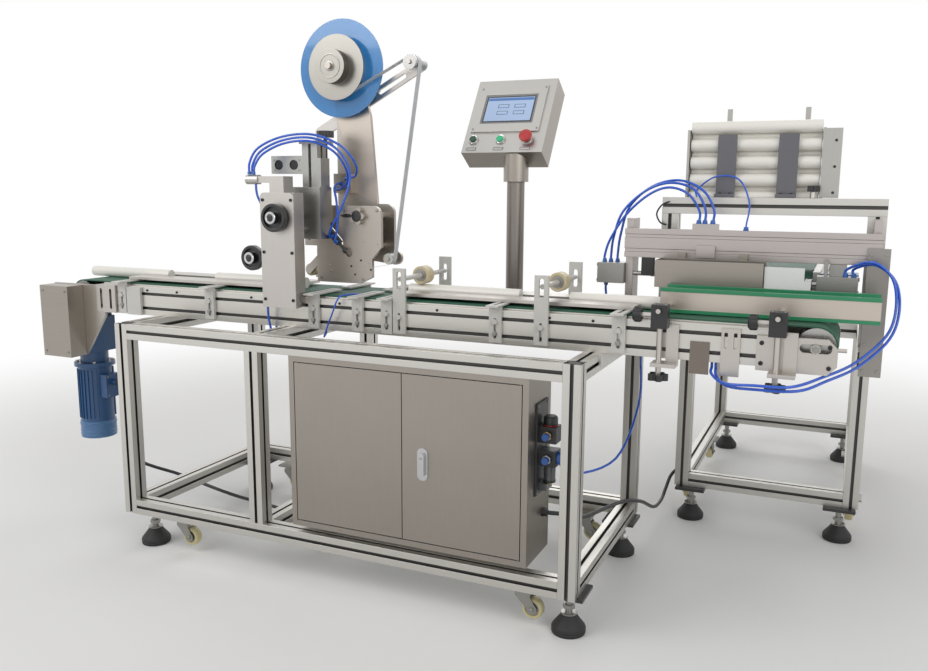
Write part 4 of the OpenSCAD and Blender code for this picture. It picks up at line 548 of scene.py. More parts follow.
rubber = plain_paint("moulded_rubber", (0.017, 0.017, 0.017), 0.62, 500, 0.2, 0.00015, 0.0)
plate_black = plain_paint("black_steel_plate", (0.03, 0.03, 0.031), 0.45, 600, 0.15, 0.00006, 0.1)
feet = worked("levelling_feet", rubber, 0.0008)
stem_low, plate_low = 0.0448, 0.0918
repaint(feet, zinc, lambda c, n: stem_low < c.z < plate_low)
repaint(feet, plate_black, lambda c, n: c.z > plate_low)
foot_places = [(x, y, 0) for x in (46, 1240) for y in (60, 530)]
foot_places += [(x, y, 0) for x in (1368, 1777) for y in (880, 1680)]
rib_outline = [(37.8, 3), (38.6, 4), (38.6, 6.5), (37.8, 7.5), (37.8, 9), (38.6, 10), (38.6, 12.5),
               (37.4, 14)]
washer_outline = [(19, 44.6), (19, 47), (18, 47.8), (9, 47.8)]
finish(repeated(rib_outline, foot_places, to_top, 48), "foot_pad_ribs", rubber, "machine")
finish(repeated(washer_outline, foot_places, to_top), "foot_washers", zinc)


# Casters: cream polyurethane wheels with a ribbed hub, in pressed and zinc-plated forks that trail behind
# their swivels. They hang clear of the floor while the feet are down.
wheel_cream = plain_paint("cream_polyurethane", (0.56, 0.5, 0.27), 0.45, 300, 0.08, 0.0001, 0.1)
hub_grey = metal_paint("wheel_hub_steel", (0.3, 0.29, 0.27), 0.4, no_grain, 300, 0.1, 0.00005)
worked("caster_forks", zinc, 0.0005)
wheel_outline = [(4, -10.4), (8, -10.6), (9, -9.2), (15.5, -8.6), (17, -11), (21.5, -10.6), (24.2, -8),
                 (25, -4.5), (25, 4.5), (24.2, 8), (21.5, 10.6), (17, 11), (15.5, 8.6), (9, 9.2), (8, 10.6),
                 (4, 10.4)]
wheel_sets = {
    "main_casters_left": ((185, 50, 45), (0, 490, 0), (0, 1, 0), 1),
    "main_casters_right": ((1160, 50, 45), (0, 490, 0), (0, 1, 0), 1),
    "infeed_casters_front": ((1340, 997, 45), (465, 0, 0), (1, 0, 0), 0),
    "infeed_casters_rear": ((1340, 1442, 45), (465, 0, 0), (1, 0, 0), 0),
}
hub_r = 0.0165
wheel_z = 0.045
for node, (place, gap, way, across) in wheel_sets.items():
    wheel = turned(wheel_outline, place, way, 44)
    pair = joined([wheel, copied(wheel, gap)])
    finish(pair, node.replace("casters", "wheels"), wheel_cream, body_of_node(node), node)
    repaint(pair, hub_grey, lambda c, n, place=place, across=across:
            math.hypot(c.z - wheel_z, c[1 - across] - place[1 - across] * mm) < hub_r
            and abs(n[across]) > 0.6)
axle_outline = [(5.5, 0), (5.5, 2.2), (4.6, 3.0), (4.6, 3.6), (3, 4.2)]
fork_half = 15.3
axle_nuts = []
for place, gap, way, across in wheel_sets.values():
    for end in (0, 1):
        for side in (-1, 1):
            nut_place = [a + end * b for a, b in zip(place, gap)]
            nut_place[across] += side * fork_half
            axle_nuts.append(turned(axle_outline, nut_place, [side * w for w in way], 6))
finish(joined(axle_nuts), "caster_axle_nuts", zinc)


# Conveyor: two slotted aluminium beams on edge carry a dark green rubber belt on a slide bed, with
# button-head screws along the beams' front.
beams = worked("conveyor_beams", anodised, 0.0005)
beam_skin = 0.0012
beam_sides = ((0.15, 0.17), (0.38, 0.4))
beam_low, beam_high = 0.622, 0.698
repaint(beams, slot_dark, lambda c, n: beam_low < c.z < beam_high
        and any(low + beam_skin < c.y < high - beam_skin for low, high in beam_sides))
belt_green = plain_paint("green_belt_cover", (0.015, 0.092, 0.054), 0.55, 90, 0.25, 0.0001, 0.0)
weave_scale = 260
weave_depth = 0.0003
web = belt_green.node_tree
coords = add_node(web, "TexCoord", {})
ribs = [add_node(web, "TexWave", {"Vector": coords.outputs["Object"], "Scale": weave_scale},
                 bands_direction=way) for way in ("X", "Y")]
crossed = add_node(web, "Math", {0: ribs[0].outputs["Fac"], 1: ribs[1].outputs["Fac"]},
                   operation="MULTIPLY")
weave = add_node(web, "Bump", {"Height": crossed.outputs[0], "Strength": 0.5, "Distance": weave_depth})
set_shader(belt_green, {"Normal": weave.outputs["Normal"]})
worked("conveyor_belts", belt_green, 0.0)
roller_steel = metal_paint("ground_roller_steel", (0.42, 0.415, 0.4), 0.28, no_grain, 400, 0.08, 0.00003)
for node in ("drive_pulley", "tail_pulley", "motor_sprocket"):
    worked(node, roller_steel, 0.0004)
worked("drive_chain", zinc, 0.0)


to_front = (0, -1, 0)


def screws(name, places, way, head_r, head_h, paint, body="machine", sides=24):
    """Socket screw heads with a sunk hexagon, one at each place."""
    outline = [(head_r, 0), (head_r, head_h * 0.75), (head_r * 0.88, head_h), (head_r * 0.45, head_h),
               (head_r * 0.42, head_h * 0.45)]
    return finish(repeated(outline, places, way, sides), name, paint, body)


screw_black = metal_paint("black_oxide_screw", (0.05, 0.05, 0.052), 0.35, no_grain, 500, 0.15, 0.00003)
bed_screws = [(x, 150, 690) for x in (-175, -25, 80, 330, 600, 870, 1150, 1250)]
screws("beam_screws", bed_screws, to_front, 3.2, 2.2, screw_black)


# Ends of the conveyor: machined aluminium plates that hold the pulleys' shafts, the tail ones with a
# slot and a nut on the shaft.
plate_bright = metal_paint("milled_plate", (0.515, 0.485, 0.45), 0.34, (1, 0.03, 0.03), 420, 0.07, 0.00005)
worked("pulley_plates", plate_bright, 0.0007)
screws("tail_plate_screws", [(-188, 142, z) for z in (640, 680)], to_front, 5, 4, screw_black)
screws("tail_screws", [(x, 142, z) for x in (1604, 1732) for z in (628, 670)], to_front, 4.5, 4, screw_black)
tail_nut_outline = [(11, 0), (11, 1.6), (8.2, 1.6), (8.2, 7), (7.4, 8), (4.2, 8), (4.2, 10.5), (3.6, 11.2)]
tail_nut = turned(tail_nut_outline, (1706, 142, 665), to_front, 6)
finish(tail_nut, "tail_axle_nut", zinc)


# Drive cover: a folded and brushed stainless box over the chain, screwed to the drive plate.
def brushed_paint(name, colour, stretch):
    """Brushed stainless sheet: fine straight hairlines and a faint cloudiness."""
    return metal_paint(name, colour, 0.33, stretch, 900, 0.14, 0.00004)


stainless_level = brushed_paint("brushed_stainless_level", (0.34, 0.31, 0.275), (0.012, 1, 1))
stainless_upright = brushed_paint("brushed_stainless_upright", (0.34, 0.31, 0.275), (1, 1, 0.012))
worked("drive_cover", stainless_level, 0.0008)
screws("cover_screws", [(x, 85, z) for x in (-357, -271) for z in (505, 680)], to_front, 3.5, 2, zinc)


# Gear motor: cast and painted blue, with a finned round body, a terminal box at its side and a lighter
# fan cover with rings of vents below.
motor_blue = plain_paint("blue_motor_paint", (0.02, 0.08, 0.205), 0.38, 350, 0.12, 0.0002, 0.25)
fan_blue = plain_paint("light_blue_fan_cover", (0.06, 0.16, 0.33), 0.38, 350, 0.1, 0.0002, 0.3)
motor = worked("gear_motor", motor_blue, 0.0012)
fan_cover_top = 0.2755
repaint(motor, fan_blue, lambda c, n: c.z < fan_cover_top)
motor_x, motor_y = -312, 215
fins = []
fin_count = 26
fin_place = (0.0495, 0, 0.359)
fin_size = (0.005, 0.0022, 0.15)
bare_half = 0.62


def block(place, size):
    """A plain block, as the start of a shape."""
    bpy.ops.object.select_all(action="DESELECT")
    bpy.ops.mesh.primitive_cube_add(size=1, location=place, scale=size)
    piece = bpy.context.object
    bpy.ops.object.transform_apply(location=True, scale=True)
    return piece


def bar(place, size, edge):
    """A square bar with its edges broken."""
    piece = block(place, size)
    bpy.ops.object.mode_set(mode="EDIT")
    bpy.ops.mesh.bevel(offset=edge, segments=1)
    bpy.ops.object.mode_set(mode="OBJECT")
    return piece


# No fins stand behind the terminal box
for i in range(fin_count):
    angle = i / fin_count * math.tau
    if abs(math.sin(angle)) < bare_half and math.cos(angle) > 0:
        continue
    fin = bar(fin_place, fin_size, 0.0006)
    fin.rotation_euler = (0, 0, angle)
    fin.location = spot(motor_x, motor_y, 0)
    bpy.ops.object.transform_apply(location=True, rotation=True)
    fins.append(fin)
finish(joined(fins), "motor_fins", motor_blue, "machine")
vent_outline = [(51.2, 232), (51.9, 233), (51.9, 235), (51.2, 236), (51.2, 242), (51.9, 243), (51.9, 245),
                (51.2, 246), (51.2, 262), (52.4, 263), (52.4, 268), (51.2, 269)]
vent_rings = turned(vent_outline, (motor_x, motor_y, 0), to_top, 64)
finish(vent_rings, "fan_cover_rings", fan_blue, "machine")
flange_turns = [math.pi / 4 + k * math.pi / 2 for k in range(4)]
flange_bolt_r = 49
flange_bolts = [(motor_x + flange_bolt_r * math.cos(a), motor_y + flange_bolt_r * math.sin(a), 455)
                for a in flange_turns]
screws("motor_flange_bolts", flange_bolts, to_top, 5, 5, zinc, sides=6)
gearbox_bolts = [(motor_x + a, 150, z) for a in (-37, 37) for z in (496, 584)]
screws("gearbox_bolts", gearbox_bolts, to_front, 4, 3, zinc, sides=6)
to_right = (1, 0, 0)
box_screws = [(-242, motor_y + b, z) for b in (-20, 20) for z in (357, 413)]
screws("terminal_box_screws", box_screws, to_right, 2.6, 1.6, zinc)


# Guides over the belt: white-coated slotted brackets bolted to both beams, with slotted arms, and thin
# bright strips that keep the tubes in line.
white_coat = plain_paint("white_coated_steel", (0.56, 0.55, 0.52), 0.38, 400, 0.06, 0.0001, 0.2)
worked("guide_brackets", white_coat, 0.0006)
guides = worked("tube_guides", plate_bright, 0.0004)
bracket_xs = (-113, 197, 527, 655, 737, 1021, 1309)
hex_outline = [(6.0, 0), (6.8, 0.2), (6.8, 1.2), (5.0, 1.3), (5.0, 4.2), (4.3, 4.8)]
bracket_bolts = repeated(hex_outline, [(x, 142, 646) for x in bracket_xs], to_front, 6)
finish(bracket_bolts, "bracket_bolts", zinc)


# Press rollers: soft cream rollers between tall slotted brackets, each with a steel hub and end nuts.
worked("roller_brackets", white_coat, 0.0006)
roller_cream = plain_paint("cream_press_roller", (0.56, 0.48, 0.3), 0.42, 260, 0.08, 0.0001, 0.15)
for node in ("press_roller_left", "press_roller_right"):
    low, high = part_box(node)
    half = (high.y - low.y) / 2 / mm
    across = ((low + high) / 2 + corner) / mm
    r = (high.z - low.z) / 2 / mm
    outline = [(6, -half), (10, -half), (10.6, 0.8 - half), (r - 7, 1.2 - half), (r - 6, -half),
               (r - 1.4, -half), (r, 1.4 - half), (r, -2.4), (r - 0.7, -1.8), (r - 0.7, 1.8), (r, 2.4),
               (r, half - 1.4), (r - 1.4, half), (r - 6, half), (r - 7, half - 1.2), (10.6, half - 0.8),
               (10, half), (6, half)]
    tyre = turned(outline, across, (0, 1, 0), 56)
    roller = finish(tyre, node + "_tyre", roller_cream, node, node)
    repaint(roller, hub_grey, lambda c, n, at=across, rim=r: abs(n.y) > 0.5
            and math.hypot(c.x - at.x * mm, c.z - at.z * mm) < (rim - 7.5) * mm)


# Rails where the tubes drop onto the belt: anodised plates edged with bright green plastic strips.
edge_green = plain_paint("green_wear_strip", (0.022, 0.23, 0.105), 0.38, 300, 0.1, 0.0001, 0.2)
rail_metal = metal_paint("anodised_rail", (0.54, 0.48, 0.425), 0.36, grain_x, 420, 0.06, 0.00005)
rail_high, rail_low = 0.7541, 0.7159
line_y = 0.275


def on_rail(c, n):
    """True on the two long rails, which stand 35 to 43 mm from the belt's middle line."""
    return c.x > 1.377 and 0.0315 < abs(c.y - line_y) < 0.0465 and 0.7075 < c.z < 0.7625


repaint(guides, rail_metal, lambda c, n: on_rail(c, n) and rail_low <= c.z <= rail_high)
repaint(guides, edge_green, lambda c, n: on_rail(c, n) and not rail_low <= c.z <= rail_high)
clamps = worked("guide_clamps", plate_bright, 0.0009)
clamp_stands = ((1.4, 0.145), (1.635, 0.153))


def on_clamp_grip(c, n):
    """True on the black parts of the clamps: block, side knob and star knob."""
    for x, out in clamp_stands:
        if min(abs(c.y - line_y - out), abs(c.y - line_y + out)) < 0.0235:
            star = abs(c.x - x) < 0.0235 and 0.575 < c.z < 0.5905
            block = abs(c.x - x) < 0.0178 and 0.6873 < c.z < 0.7385
            knob = x - 0.056 < c.x < x - 0.0385 and 0.697 < c.z < 0.731
            if star or block or knob:
                return True
    return False


repaint(clamps, cap_black, on_clamp_grip)


sensor_brown = plain_paint("brown_sensor_plate", (0.185, 0.152, 0.128), 0.4, 300, 0.15, 0.0001, 0.1)
repaint(clamps, sensor_brown, lambda c, n: 1.4605 < c.x < 1.5015 and 0.1465 < c.y < 0.1505)
knob_z = 714
knob_ring = [(11, 0), (12.6, 1), (12.6, 2), (11.4, 2.6), (6, 2.6), (5.2, 1.8)]
knob_rib = [(1.0, -6.6), (1.6, -6), (1.6, 6), (1.0, 6.6)]
rib_count, rib_r = 10, 15
to_left = (-1, 0, 0)
knob_grips = []
for clamp_x, out in ((1400, 145), (1635, 153)):
    for knob_y in (line_y / mm - out, line_y / mm + out):
        knob_grips.append(turned(knob_ring, (clamp_x - 55, knob_y, knob_z), to_left, 28))
        for k in range(rib_count):
            angle = k / rib_count * math.tau
            place = (clamp_x - 47, knob_y + rib_r * math.cos(angle), knob_z + rib_r * math.sin(angle))
            knob_grips.append(turned(knob_rib, place, to_right, 6))
finish(joined(knob_grips), "clamp_knob_ribs", cap_black, "machine")
clamp_screws = [(x, y, 738) for x in (1388, 1412) for y in (122, 138)]
clamp_screws += [(x, y, 738) for x in (1623, 1647) for y in (114, 130)]
screws("clamp_block_screws", clamp_screws, to_top, 2.8, 1.8, zinc)


# Tubes: smooth white plastic, closed at both ends by a pressed-in cap with a rim.
tube_white = plain_paint("white_tube_plastic", (0.83, 0.81, 0.755), 0.34, 220, 0.05, 0.0001, 0.25)
worked("product_tubes", tube_white, 0.0012)


# Tower: a tall milled aluminium housing bolted to the front beam, with the cross slide's screw inside
# it, a black handwheel on its face and a second one on a short arm at its left.
tower_metal = metal_paint("satin_tower_plate", (0.505, 0.48, 0.452), 0.4, grain_z, 380, 0.07, 0.00005)
worked("tower", tower_metal, 0.001)
face_screws = [(x, 100, z) for x in (413, 497) for z in (697, 815, 944)]
screws("tower_face_screws", face_screws, to_front, 4, 2.6, screw_black)
chrome = metal_paint("polished_chrome", (0.56, 0.56, 0.57), 0.12, no_grain, 200, 0.03, 0.00002)
wheel_black = plain_paint("handwheel_black", (0.016, 0.016, 0.017), 0.32, 260, 0.15, 0.0002, 0.3)
ring_outline = [(14.2, -5), (15.2, -4), (15.2, -0.6), (14, 0.5), (9.6, 0.5), (9, -0.2)]
cap_outline = [(6.8, -0.4), (6.8, 0.2), (6, 0.6), (3, 0.7)]
for node, (hub_x, hub_z) in (("front_handwheel", (455, 901)), ("side_handwheel", (360, 797))):
    worked(node, wheel_black, 0.0018)
    hub_place = (hub_x, (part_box(node)[0].y + corner.y) / mm, hub_z)
    body = body_of_node(node)
    finish(turned(ring_outline, hub_place, to_front), node + "_hub_ring", chrome, body)
    hub_cap = turned(cap_outline, hub_place, to_front, 28)
    finish(hub_cap, node + "_hub_cap", wheel_black, body)


# Column: a profile with round guides, a screw rail and a cap, which the side screw and height knob move.
column_metal = metal_paint("column_profile", (0.37, 0.372, 0.355), 0.36, no_grain, 320, 0.05, 0.00008)
worked("head_column", column_metal, 0.0006)
screws("column_cap_screws", [(478, y, 1091) for y in (207, 222)], to_top, 2.6, 2, screw_black, "column")
worked("height_knob", wheel_black, 0.001)
block_face = 190
port_places = [(x, block_face, z) for x in (386, 462) for z in (1044, 1019)]
port_brass = metal_paint("plated_port_ring", (0.45, 0.43, 0.38), 0.25, no_grain, 500, 0.08, 0.00003)
screws("column_block_screws", port_places, to_front, 3.0, 1.8, port_brass, "column")
socket_outline = [(12.4, 0), (12.4, 0.8), (11.6, 1.4), (10.6, 1.4), (10.2, -4), (7, -4), (6.4, -1),
                  (4.6, -0.4)]
socket_rings = [turned(socket_outline, (x, block_face, 1031.5), to_front, 36) for x in (400, 446)]
finish(joined(socket_rings), "column_block_sockets", screw_black, "column")


# Head: bright milled plates with radiused corners and a long mast behind them, held together by
# distance pieces, with the press cylinder, peel bar and a star screw on the front plate.
head_metal = metal_paint("milled_head_plate", (0.44, 0.405, 0.365), 0.36, grain_x, 420, 0.08, 0.00005)
mast_metal = metal_paint("mast_plate", (0.5, 0.445, 0.39), 0.34, grain_z, 420, 0.08, 0.00005)
head = worked("head_plates", head_metal, 0.0007)
mast_front, mast_foot = 0.304, 0.935
repaint(head, mast_metal, lambda c, n: c.y > mast_front and c.z > mast_foot)
press_black = plain_paint("black_press_cylinder", (0.03, 0.032, 0.036), 0.35, 500, 0.15, 0.0001, 0.1)
plate_y = 0.2449
repaint(head, press_black, lambda c, n: c.y < plate_y and 0.79 < c.z < 0.893 and 0.5 < c.x < 0.59)
plate_face = 245
plate_spots = ((486, 742), (449, 918), (449, 842), (655, 918), (560, 918), (612, 742))
plate_screws = [(x, plate_face, z) for x, z in plate_spots]
screws("head_plate_screws", plate_screws, to_front, 3.6, 2.6, zinc, "head")
star_outline = [(4, 0), (4, 6), (13, 7), (14.5, 9), (14.5, 14), (12.5, 16), (5, 17)]
star = turned(star_outline, (603, plate_face, 904), to_front, 28)
finish(star, "head_star_screw_boss", wheel_black, "head")
tapped_screws = [(x, plate_face, z) for x, z in ((578, 775), (607, 791), (589, 754), (636, 768))]
screws("head_plate_tapped_screws", tapped_screws, to_front, 2.6, 1.4, screw_black, "head")
plate_pins = [(x, plate_face, z) for x, z in ((615, 840), (631, 785), (513, 777), (517, 761), (656, 834))]
screws("head_plate_pins", plate_pins, to_front, 2.8, 1.2, port_brass, "head")


def edit_faces(piece, choose):
    """Opens a piece in edit mode with just those faces selected whose normal the rule chooses."""
    bpy.ops.object.mode_set(mode="EDIT")
    bpy.ops.mesh.select_mode(type="FACE")
    bpy.ops.mesh.select_all(action="DESELECT")
    bpy.ops.object.mode_set(mode="OBJECT")
    for face in piece.data.polygons:
        face.select = choose(face.normal)
    bpy.ops.object.mode_set(mode="EDIT")


pointer_y, pointer_z = 244.4, 904
pointer = block(spot(572, pointer_y, pointer_z), (0.026, 0.0016, 0.009))
edit_faces(pointer, lambda n: n.x < -0.9)
bpy.ops.mesh.extrude_region_move(TRANSFORM_OT_translate={"value": (-0.012, 0, 0)})
bpy.ops.transform.resize(value=(1, 1, 0.12), center_override=spot(547, pointer_y, pointer_z))
bpy.ops.mesh.select_all(action="SELECT")
bpy.ops.mesh.bevel(offset=0.0003, segments=1)
bpy.ops.object.mode_set(mode="OBJECT")
finish(pointer, "head_star_screw_pointer", wheel_black, "head")
worked("press_rod", press_black, 0.0005)


# Reel: a clear blue disc behind, the roll of white tape, and an aluminium flange with a knurled hub.
film_blue = plain_paint("clear_blue_disc", (0.06, 0.3, 0.68), 0.12, 60, 0.1, 0.00005, 0.6)
set_shader(film_blue, {"Transmission Weight": 0.35})
worked("reel_disc", film_blue, 0.0006)
reel_at = (531, 0, 1275)
tape_side = plain_paint("wound_white_tape", (0.56, 0.58, 0.6), 0.4, 200, 0.06, 0.0001, 0.2)
web = tape_side.node_tree
source = next(n for n in web.nodes if n.bl_idname == "ShaderNodeTexCoord")
off_hub = add_node(web, "Mapping", {"Vector": source.outputs["Object"], "Location": -spot(*reel_at)})
rings = add_node(web, "TexWave", {"Vector": off_hub.outputs["Vector"], "Scale": 900}, wave_type="RINGS",
                 rings_direction="Y")
ring_bump = add_node(web, "Bump", {"Height": rings.outputs["Fac"], "Strength": 0.4, "Distance": 0.0003})
set_shader(tape_side, {"Normal": ring_bump.outputs["Normal"]})
worked("tape_roll", tape_side, 0.001)
flange_metal = metal_paint("spun_flange", (0.33, 0.318, 0.29), 0.3, grain_y, 300, 0.1, 0.00005)
knurl_metal = metal_paint("knurled_hub", (0.16, 0.15, 0.135), 0.4, (1, 0.05, 1), 900, 0.45, 0.0006)
flange = worked("reel_flange", flange_metal, 0.0008)
knurl_back = 0.2605
repaint(flange, knurl_metal, lambda c, n: c.y < knurl_back and abs(n.y) < 0.5)
hub_outline = [(30, -0.4), (30, 0.8), (28.5, 1.2), (27, 0.8), (26.6, 0.2), (13, 0.2), (12.4, 1.6), (6, 2.2)]
hub_face = (reel_at[0], 233, reel_at[2])
hub_rings = turned(hub_outline, hub_face, to_front, 48)
finish(hub_rings, "reel_hub_face", flange_metal, "reel")


# Web path: a slotted dancer arm bolted across the mast, steel top roller, white lower roller, cream tape
# wheel, and the white strip of tape itself.
worked("dancer_arm", tower_metal, 0.0007)
worked("top_roller", roller_steel, 0.0006)
roller_white = plain_paint("white_guide_roller", (0.56, 0.55, 0.52), 0.3, 250, 0.05, 0.0001, 0.3)
worked("lower_roller", roller_white, 0.0008)
worked("tape_wheel", roller_cream, 0.001)
worked("tape_strip", tape_side, 0.0)


# Cabinet: a folded stainless box brushed upright, hung under the front rail, with two pan doors on pins
# and a chrome turn latch. Black glands hold the cables where they enter.
worked("cabinet_body", stainless_upright, 0.0008)
worked("cabinet_door_left", stainless_upright, 0.001)
door = worked("cabinet_door_right", stainless_upright, 0.001)
latch_x, latch_z, door_face = 0.906, 0.359, 0.0018
repaint(door, chrome, lambda c, n: c.y < door_face and abs(c.x - latch_x) < 0.0135
        and abs(c.z - latch_z) < 0.039)
worked("door_latch", chrome, 0.0012)
key_outline = [(3.6, 0), (3.6, 0.5), (3.2, 0.8), (2.0, 0.8), (1.9, 0.2)]
key_ring = turned(key_outline, (906, -9.3, 376), to_front, 24)
finish(key_ring, "latch_keyhole_ring", roller_steel, "latch")
gasket_black = plain_paint("black_cable_gland", (0.02, 0.02, 0.021), 0.5, 500, 0.12, 0.0001, 0.1)
gland_outline = [(11, 0), (11, 3), (10, 4), (10, 9), (8.4, 11.5), (6.4, 12)]
to_floor = (0, 0, -1)
gland_spots = (((1157, 110, 250), to_right), ((600, 100, 156), to_floor), ((-224.5, 215, 396), to_right))
glands = [turned(gland_outline, place, way, 6) for place, way in gland_spots]
finish(joined(glands), "cable_glands", gasket_black, "machine")


# Air service unit: two cast blocks with black knobs and a clear bowl on a black plate, blue push-in
# collars, a brass plug and a small steel valve.
unit_black = plain_paint("black_air_unit", (0.028, 0.03, 0.034), 0.38, 300, 0.15, 0.0001, 0.15)
unit_blue = plain_paint("blue_air_fitting", (0.02, 0.11, 0.42), 0.3, 300, 0.12, 0.0001, 0.3)
unit_red = plain_paint("red_lock_ring", (0.42, 0.015, 0.015), 0.35, 300, 0.1, 0.0001, 0.3)
bowl_grey = plain_paint("smoked_bowl", (0.09, 0.095, 0.1), 0.15, 100, 0.1, 0.00003, 0.5)
brass = metal_paint("brass_plug", (0.43, 0.3, 0.11), 0.3, no_grain, 400, 0.1, 0.00004)
unit = worked("air_service_unit", unit_black, 0.001)
repaint(unit, unit_blue, lambda c, n: c.y < 0.0645 and c.x > 1.165 or 0.3745 < c.z < 0.4055 and c.x > 1.1995)
repaint(unit, bowl_grey, lambda c, n: c.z < 0.3715 and 1.166 < c.x < 1.194)
grip_outline = [(15.3, 464), (15.9, 465), (15.9, 479), (15.3, 480), (13.6, 480), (13.2, 483.5), (12, 484.5)]
red_outline = [(15.7, 461.9), (16.4, 462.4), (16.4, 464.2), (15.7, 464.6)]
side_outline = [(15.5, 13), (16.2, 13.6), (16.2, 16.4), (15.5, 17), (11, 17), (11, 19.2), (9.4, 20.2)]
bowl_outline = [(12.4, -1.6), (13.4, -1.2), (13.9, 1.5), (13.9, 3.5), (13.2, 4.2)]
drain_outline = [(3.8, 0), (3.8, 3), (5.0, 3.4), (5.0, 7), (3.4, 8)]
nut_outline = [(9.4, 2), (10.4, 2.4), (10.4, 8), (9.4, 8.4)]
collar_outline = [(6.6, 0), (7.4, 0.6), (7.4, 5), (6.8, 6.4), (4.0, 6.4)]
unit_parts = {
    "unit_top_knob_grip": (grip_outline, (1180, 84, 0), to_top, unit_black, 36),
    "unit_red_ring": (red_outline, (1180, 84, 0), to_top, unit_red, 36),
    "unit_side_ring": (side_outline, (1203, 84, 390), to_right, roller_steel, 36),
    "unit_bowl_cap": (bowl_outline, (1180, 84, 334), to_top, unit_black, 24),
    "unit_drain_plug": (drain_outline, (1180, 84, 334), to_floor, brass, 6),
    "unit_port_nut": (nut_outline, (1180, 65, 443.5), to_front, brass, 6),
    "unit_valve_nut": (nut_outline, (1180, 65, 390), to_front, roller_steel, 6),
    "unit_collar": (collar_outline, (1180, 103, 390), (0, 1, 0), unit_blue, 24),
}
for name, (outline, place, way, paint, sides) in unit_parts.items():
    finish(turned(outline, place, way, sides), name, paint, "machine")
unit_screws = [(1161, y, z) for y in (54, 116) for z in (312, 509)]
screws("unit_plate_screws", unit_screws, to_right, 3.4, 2.2, zinc)


# Console: a brushed stainless box on a round post, with a touch screen in a grey bezel on a raised
# front sheet. The screen shows a plain bar and four empty outlines.
post_steel = brushed_paint("polished_post_tube", (0.235, 0.212, 0.192), (1, 1, 0.012))
worked("hmi_post", post_steel, 0.0012)
console = worked("hmi_box", stainless_level, 0.0012)
console_at = spot(757, 533, 1071)
console_tilt = math.radians(33)
console_turn = Matrix.Translation(console_at) @ Matrix.Rotation(-console_tilt, 4, "X")
console_w, console_h = 233, 242
back_to_face = console_turn.inverted()


def on_face(x_low, x_high, z_low, z_high, depth):
    """A rule for faces of the console that lie near its sloping front, between these millimetres."""
    def rule(c, n):
        at = back_to_face @ (c - corner)
        return at.y < depth * mm and x_low * mm < at.x < x_high * mm and z_low * mm < at.z < z_high * mm
    return rule


def panel_piece(name, xs, zs, thick, lift, inset, paint):
    """A thin raised plate with a sloped rim on the console's sloping face, in millimetres."""
    centre = Vector(((xs[0] + xs[1]) / 2, -lift - thick / 2, (zs[0] + zs[1]) / 2)) * mm
    piece = block(centre, ((xs[1] - xs[0]) * mm, thick * mm, (zs[1] - zs[0]) * mm))
    edit_faces(piece, lambda n: n.y < -0.9)
    bpy.ops.mesh.inset(thickness=inset * mm, depth=0)
    bpy.ops.transform.translate(value=(0, -thick * mm / 2, 0))
    bpy.ops.object.mode_set(mode="OBJECT")
    piece.matrix_world = console_turn
    bpy.ops.object.transform_apply(location=True, rotation=True)
    return finish(piece, name, paint, "console")


def lit_paint(name, colour, strength):
    """A lit part of the screen: smooth glass over a glowing, faintly uneven tone."""
    paint = plain_paint(name, colour, 0.14, 40, 0.06, 0.00002, 0.5)
    set_shader(paint, {"Emission Color": (*colour, 1), "Emission Strength": strength})
    return paint


bezel_grey = plain_paint("grey_screen_bezel", (0.25, 0.25, 0.255), 0.35, 400, 0.06, 0.0001, 0.2)
glass_dark = plain_paint("dark_screen_glass", (0.02, 0.022, 0.026), 0.12, 60, 0.1, 0.00002, 0.6)
screen_blue = lit_paint("lit_screen", (0.33, 0.44, 0.64), 0.3)
screen_bar = lit_paint("lit_title_bar", (0.06, 0.16, 0.42), 0.2)
screen_line = lit_paint("button_outline", (0.03, 0.05, 0.12), 0.05)
screen_x = (0.15 * console_w, 0.81 * console_w)
screen_z = (0.38 * console_h, 0.78 * console_h)


def shrunk(span, by):
    """A span made shorter at both ends."""
    return span[0] + by, span[1] - by


panel_piece("screen_bezel", screen_x, screen_z, 0.6, 3.0, 2.0, bezel_grey)
panel_piece("screen_glass", shrunk(screen_x, 5), shrunk(screen_z, 5), 0.3, 3.7, 0.8, glass_dark)
lit_x = shrunk(screen_x, 9)
lit_z = shrunk(screen_z, 9)
panel_piece("screen_picture", lit_x, lit_z, 0.2, 4.0, 0.4, screen_blue)
bar_z = (lit_z[1] - 11, lit_z[1] - 2)
panel_piece("screen_title_bar", shrunk(lit_x, 1), bar_z, 0.15, 4.2, 0.3, screen_bar)
key_w, key_h, key_line = 32, 12, 1.6
for row, key_z in enumerate((lit_z[0] + 43, lit_z[0] + 21)):
    for column, key_x in enumerate((lit_x[0] + 34, lit_x[0] + 82)):
        key_name = "screen_key_%d_%d" % (row, column)
        key_xs = (key_x, key_x + key_w)
        key_zs = (key_z, key_z + key_h)
        panel_piece(key_name, key_xs, key_zs, 0.15, 4.2, 0.3, screen_line)
        panel_piece(key_name + "_middle", shrunk(key_xs, key_line), shrunk(key_zs, key_line), 0.1, 4.35, 0.3,
                    screen_blue)
panel_face = metal_paint("console_front_sheet", (0.52, 0.505, 0.48), 0.36, (0.012, 1, 1), 900, 0.07, 0.00004)
repaint(console, panel_face, on_face(-5, 240, -5, 250, 0.5))
for left, right in ((10, 60), (80, 140), (160, 210)):
    repaint(console, bezel_grey, on_face(left, right, 5, 18, -0.5))
screw_turn = console_turn.to_3x3() @ Vector(to_front)


def on_slope(x, y, z):
    """A place on the console's sloping face, in the millimetres that turned shapes are placed by."""
    return (console_turn @ Vector((x * mm, y * mm, z * mm)) + corner) / mm


corner_screws = [on_slope(x, -5, z) for x in (20, 206) for z in (74, 210)]
screws("console_panel_screws", corner_screws, screw_turn, 3.0, 1.2, zinc, "console")


